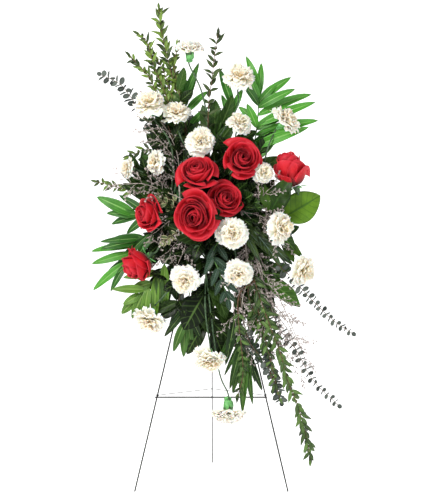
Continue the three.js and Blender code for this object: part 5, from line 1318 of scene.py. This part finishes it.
# Bloom stems with their green cups. A cup's rows are its height over the head's foot and its radius. A ring
# of sepals has their number, height, radius, length, width and lean.
cupPlans = {
    "rose": {"stem": 3.1, "knots": 0, "height": rosePlan["height"],
             "cup": [[-17, 3.1], [-13, 5.6], [-8, 6.6], [-4, 7.6], [-0.5, 9.0]],
             "sepals": [[5, -3.5, 7.8, 19, 6.5, 1.75]]},
    "carnation": {"stem": 2.3, "knots": 3, "height": carnationPlan["height"],
                  "cup": [[-28, 2.3], [-25, 4.0], [-19, 5.2], [-10, 6.3], [-0.5, 7.4]],
                  "sepals": [[5, -21, 4.8, 26, 9.5, 0.16], [4, -27, 3.6, 9, 7.0, 0.35]]},
}
bloomStemPlan = {
    "steps": 40, "taper": 0.12, "sides": 12, "wobble": 0.1, "neck": 34, "end": 10, "sepalSwing": 0.2,
    "sepalTurn": 0.4, "sepalSeat": 0.4,
}


def addCup(plant, bloom, plan):
    rotation, foot = bloomFrame(bloom, plan["height"])
    size, swell = bloom["size"] * milli, bloom.get("calyx", 1)
    axis = rotation @ up
    places = [foot + axis * depth * size for depth, _ in plan["cup"]]
    plant.run(places, [radius * size * (swell if i else 1) for i, (_, radius) in enumerate(plan["cup"])])
    for count, depth, radius, length, width, lean in plan["sepals"]:
        for i in range(count):
            turn = (i + bloomStemPlan["sepalSwing"] * draw(i, depth)) / count * 2 * math.pi
            turn += bloomStemPlan["sepalTurn"]
            out = rotation @ Vector((math.cos(turn), math.sin(turn), 0))
            base = foot + axis * depth * size + out * (radius * swell - bloomStemPlan["sepalSeat"]) * size
            grown = (width * swell * size, length * size, length * size)
            plant.add(base, swung(axis, out, lean), out, grown, pick=i, tint=draw(i, count))


def addStemGroup(group):
    plant, first, common = Plant(), None, bloomStemPlan
    for kind, number, *share in group["blooms"]:
        plan = cupPlans[kind]
        bloom = (roses if kind == "rose" else carnations)[number]
        rotation, foot = bloomFrame(bloom, plan["height"])
        start = first.point(share[0]) if first else spot(*group["start"])
        bend = [spot(*bloom["stalk"])] if "stalk" in bloom else []
        under = [foot - rotation @ Vector((0, 0, depth * bloom["size"] * milli))
                 for depth in (bloom.get("neck", common["neck"]), common["end"])]
        stalk = Stalk([start, *bend, *under], plan["stem"] * milli)
        stalk.tube(plant, common["steps"], common["taper"], plan["knots"])
        first = first or stalk
        addCup(plant, bloom, plan)
    mesh = plant.grow(leafGroups["sepal"], "calyxGreen", "bloomStem", common["sides"], common["wobble"],
                      seed=len(pieceName(group["node"])))
    addPiece(group["node"], mesh)


for group in stemGroups:
    addStemGroup(group)
print("stage: bloom stems")

# Easel. Every wire is a tube, and "gap" is the air that stands where two of them meet.
easelPlan = {
    "apexHeight": 873, "footSpread": 420, "backReach": 180, "wire": 2.0, "legGap": 4.5, "footEnd": 0.5,
    "barHeight": 253, "barLeft": -156, "barRight": 153.5, "barAhead": 4.3, "pinHalf": 8, "eyeRadius": 3.9,
    "eyeWire": 1.6, "eyeSeat": 0.2, "eyeTurns": 0.99, "spreaderWire": 0.9, "spreaderRise": 5,
    "spreaderDip": 27, "spreaderBend": 3.5, "spreaderClear": 0.4, "turnHalf": 4, "hookTurns": 1.5,
    "hookHalf": 1.4, "gap": 0.3, "sides": 20,
}
wirePlan = {
    "end": 0.6, "endMiddle": 0.35, "endRadii": (0.62, 0.9), "bendSteps": 6, "bendShare": 0.45,
    "ringSteps": 36,
}
hands = ((-1, "left"), (1, "right"))


def wireRun(plant, corners, radius, bend=0.0):  # a wire with rounded ends, and rounded bends at its corners
    radius, tip, most = radius * milli, wirePlan["end"] * milli, wirePlan["bendShare"]
    places = [corners[0]]
    for before, corner, after in zip(corners, corners[1:], corners[2:]):
        reach = min(bend * milli, (corner - before).length * most, (after - corner).length * most)
        enter, leave = corner + unit(before - corner) * reach, corner + unit(after - corner) * reach
        for step in range(wirePlan["bendSteps"] + 1):
            t = step / wirePlan["bendSteps"]
            places.append(enter * (1 - t) ** 2 + corner * 2 * t * (1 - t) + leave * t ** 2)
    places.append(corners[-1])
    first, last = unit(places[1] - places[0]), unit(places[-2] - places[-1])
    inner = [places[0] + first * tip, *places[1:-1], places[-1] + last * tip]
    middle = tip * wirePlan["endMiddle"]
    mids = [places[0] + first * middle, *inner, places[-1] + last * middle]
    small, large = (share * radius for share in wirePlan["endRadii"])
    plant.run([places[0], *mids, places[-1]], [small, large, *[radius] * len(inner), large, small])


def ringRun(plant, centre, first, second, radius, wire, turns, rise=Vector()):
    places = []
    for i in range(wirePlan["ringSteps"] + 1):
        share = i / wirePlan["ringSteps"]
        angle = share * turns * 2 * math.pi
        places.append(centre + swung(first, second, angle) * radius * milli + rise * share)
    plant.run(places, [wire * milli] * len(places))


def addWire(node, plant, body="frame"):
    mesh = plant.grow(None, None, "blackWire", easelPlan["sides"])
    heights = np.empty(len(mesh.vertices) * 3, np.float32)
    mesh.vertices.foreach_get("co", heights)
    heights[2::3] = np.maximum(heights[2::3], 0.0)  # nothing reaches under the ground
    mesh.vertices.foreach_set("co", heights)
    mesh.update()
    addPiece(node, mesh, body)


def addRod(node, corners, radius, bend=0.0):
    plant = Plant()
    wireRun(plant, corners, radius, bend)
    addWire(node, plant)


def addEasel(plan):
    wire, thin, gap, eye = plan["wire"], plan["spreaderWire"], plan["gap"], plan["eyeWire"]
    beyond = plan["footEnd"] * milli
    feet, tops = {}, {}
    for hand, side in hands:
        feet[hand] = easelPlace(hand * plan["footSpread"] / 2, -legPlan["reach"], 0)
        tops[hand] = easelPlace(hand * plan["legGap"], 0, legPlan["top"])
        addRod("easel_leg_" + side, [feet[hand] + unit(feet[hand] - tops[hand]) * beyond, tops[hand]], wire)
    apex = easelPlace(0, 0, plan["apexHeight"])
    backFoot = easelPlace(0, plan["backReach"], 0)
    backWay = unit(backFoot - apex)
    plant = Plant()
    top = apex + backWay * (plan["eyeRadius"] + plan["eyeSeat"]) * milli
    wireRun(plant, [backFoot + backWay * beyond, top], eye)
    beside = backWay.cross(Vector((1, 0, 0)))
    ringRun(plant, apex, backWay, beside, plan["eyeRadius"], eye, plan["eyeTurns"])
    addWire("easel_leg_back", plant, "back_leg")
    share = plan["barHeight"] / legPlan["top"]
    barY = -legPlan["reach"] * (1 - share) - plan["barAhead"] / math.cos(legLean)
    bar = [easelPlace(x, barY, plan["barHeight"]) for x in (plan["barLeft"], plan["barRight"])]
    addRod("easel_crossbar", bar, wire)
    half = Vector((plan["pinHalf"] * milli, 0, 0))
    addRod("easel_hinge_pin", [apex - half, apex + half], wire)
    height = plan["barHeight"] + plan["spreaderRise"]
    low = height - plan["spreaderDip"]
    inside = wire + thin + gap
    legAt = feet[1].lerp(tops[1], height / legPlan["top"])
    backAt = apex + backWay * ((plan["apexHeight"] - height + plan["spreaderDip"]) * milli / -backWay.z)
    behind = backAt.y / milli - shift.y / milli + eye + thin + gap + plan["spreaderClear"]
    endX, endY = (legAt.x - shift.x) / milli - inside, (legAt.y - shift.y) / milli
    plant = Plant()
    corners = [(-endX, endY, height), (-plan["turnHalf"], behind, low), (plan["turnHalf"], behind, low),
               (endX, endY, height)]
    wireRun(plant, [easelPlace(*corner) for corner in corners], thin, plan["spreaderBend"])
    drop = Vector((0, 0, plan["hookHalf"] * milli))
    for hand, _ in hands:
        centre = feet[hand].lerp(tops[hand], height / legPlan["top"])
        ringRun(plant, centre - drop, Vector((-hand, 0, 0)), Vector((0, hand, 0)), inside, thin,
                plan["hookTurns"], drop * 2)
    addWire("easel_spreader", plant)


addEasel(easelPlan)
print("stage: easel")

# Holder, laid out in the plane of the front legs
holderPlan = {
    "width": 230, "height": 110, "depth": 80, "drop": 105, "wall": 3, "rim": 22, "tieWire": 0.8,
    "tieHalf": 6, "tieDrop": 92, "tieBend": 1.5, "tieGaps": 2.5, "gap": 0.3, "foamBevel": 3,
    "trayBevel": 0.8, "bevelSteps": 3, "smallFace": 4e-6,
}


def addBox(solid, size, centre, bevel):
    made = bmesh.ops.create_cube(solid, size=1.0)["verts"]
    for vertex in made:
        vertex.co = Vector(centre) + Vector([a * b for a, b in zip(vertex.co, size)])
    edges = list({edge for vertex in made for edge in vertex.link_edges})
    bmesh.ops.bevel(solid, geom=edges, offset=bevel, segments=holderPlan["bevelSteps"], affect="EDGES",
                    profile=0.5)


def boxesMesh(boxes, bevel):
    solid = bmesh.new()
    for size, centre in boxes:
        addBox(solid, size, centre, bevel)
    mesh = bpy.data.meshes.new("boxes")
    solid.to_mesh(mesh)
    solid.free()
    mesh.transform(onLegs @ Matrix.Scale(milli, 4))
    for face in mesh.polygons:
        face.use_smooth = face.area < holderPlan["smallFace"]  # the bevels only
    return mesh


def addHolder(plan):
    wall, gap, rim, wire = plan["wall"], plan["gap"], plan["rim"], easelPlan["wire"]
    plateFront = -(wire + gap + wall)
    foamY = plateFront - gap - plan["depth"] / 2
    brick = ((plan["width"], plan["depth"], plan["height"]), (0, foamY, -plan["drop"]))
    addPiece("foam_block", boxesMesh([brick], plan["foamBevel"]), finish="wetFoam")
    outer = wall + gap
    wide, tall = plan["width"] + 2 * outer, plan["height"] + 2 * outer
    boxes = [((wide, wall, tall), (0, plateFront + wall / 2, -plan["drop"]))]
    rimY = plateFront - rim / 2 + wall / 2
    for hand, _ in hands:
        boxes.append(((wall, rim + wall, tall), (hand * (wide - wall) / 2, rimY, -plan["drop"])))
        boxes.append(((wide, rim + wall, wall), (0, rimY, -plan["drop"] + hand * (tall - wall) / 2)))
    addPiece("holder_tray", boxesMesh(boxes, plan["trayBevel"]), finish="trayPlastic")
    back = wire + plan["tieWire"] + gap
    front = -(wire + wall + plan["tieWire"] + plan["tieGaps"] * gap)
    splay = easelPlan["footSpread"] / 2 - easelPlan["legGap"]
    legLength = math.hypot(legPlan["top"], legPlan["reach"], splay)
    legX = easelPlan["legGap"] + splay * plan["tieDrop"] / legLength
    half = plan["tieHalf"]
    loop = [(half, back), (-half, back), (-half, front), (half, front), (half, back)]
    for hand, side in hands:
        corners = [onLegs @ (Vector((hand * legX + x, y, -plan["tieDrop"])) * milli) for x, y in loop]
        addRod("tie_wire_" + side, corners, plan["tieWire"], plan["tieBend"])


addHolder(holderPlan)
print("stage: holder")

# Stage and light
stagePlan = {
    "half": 7.0, "back": 4.5, "height": 5.0, "turn": 1.4, "steps": 13, "tone": (0.90, 0.90, 0.90),
    "roughness": 0.9, "gloss": 0.1, "glow": 0.62,
}
lightPlan = [
    {"name": "key", "at": (-1.7, -2.6, 2.7), "size": 1.2, "watts": 122, "color": (1.0, 0.985, 0.96)},
    {"name": "fill", "at": (2.4, -2.2, 1.4), "size": 2.2, "watts": 30, "color": (0.95, 0.98, 1.0)},
    {"name": "rim", "at": (1.3, 2.4, 2.6), "size": 1.2, "watts": 30, "color": (1.0, 1.0, 1.0)},
]
worldPlan = {"color": (1.0, 1.0, 1.0), "strength": 0.32, "aim": (0.0, 0.0, 0.85)}


def addStage(plan):
    half, back, turn = plan["half"], plan["back"], plan["turn"]
    rows = [(-half, 0.0)]
    rows += [(back - turn + turn * math.sin(a), turn - turn * math.cos(a))
             for a in np.linspace(0, math.pi / 2, plan["steps"])]
    rows.append((back, plan["height"]))
    vertices = [(x, y, z) for y, z in rows for x in (-half, half)]
    faces = [(2 * i, 2 * i + 1, 2 * i + 3, 2 * i + 2) for i in range(len(rows) - 1)]
    mesh = bpy.data.meshes.new("studioFloor")
    mesh.from_pydata(vertices, [], faces)
    for face in mesh.polygons:
        face.use_smooth = True
    finish = Finish("studioFloor", Roughness=plan["roughness"], Specular_IOR_Level=plan["gloss"],
                    Emission_Color=(1, 1, 1, 1), Emission_Strength=plan["glow"])
    finish.sets("Base Color", plan["tone"])
    mesh.materials.append(finish.material)
    placed("studioFloor", mesh)


def addLight(plan):
    data = bpy.data.lights.new(plan["name"], "AREA")
    data.shape = "DISK"
    data.size = plan["size"]
    data.energy = plan["watts"]
    data.color = plan["color"]
    light = placed(plan["name"], data)
    light.location = plan["at"]
    aim = Vector(worldPlan["aim"]) - light.location
    light.rotation_euler = aim.to_track_quat("-Z", "Y").to_euler()


def addWorld(plan):
    world = bpy.data.worlds.new("studio")
    world.use_nodes = True
    sky = world.node_tree.nodes["Background"]
    sky.inputs["Color"].default_value = (*plan["color"], 1)
    sky.inputs["Strength"].default_value = plan["strength"]
    scene.world = world


addStage(stagePlan)
for plan in lightPlan:
    addLight(plan)
addWorld(worldPlan)
scene.view_settings.view_transform = "Standard"
print("stage: floor and lights")

for group in leafGroups.values():
    for made in list(group.objects):
        bpy.data.objects.remove(made)
    bpy.data.collections.remove(group)
bpy.data.node_groups.remove(growth)
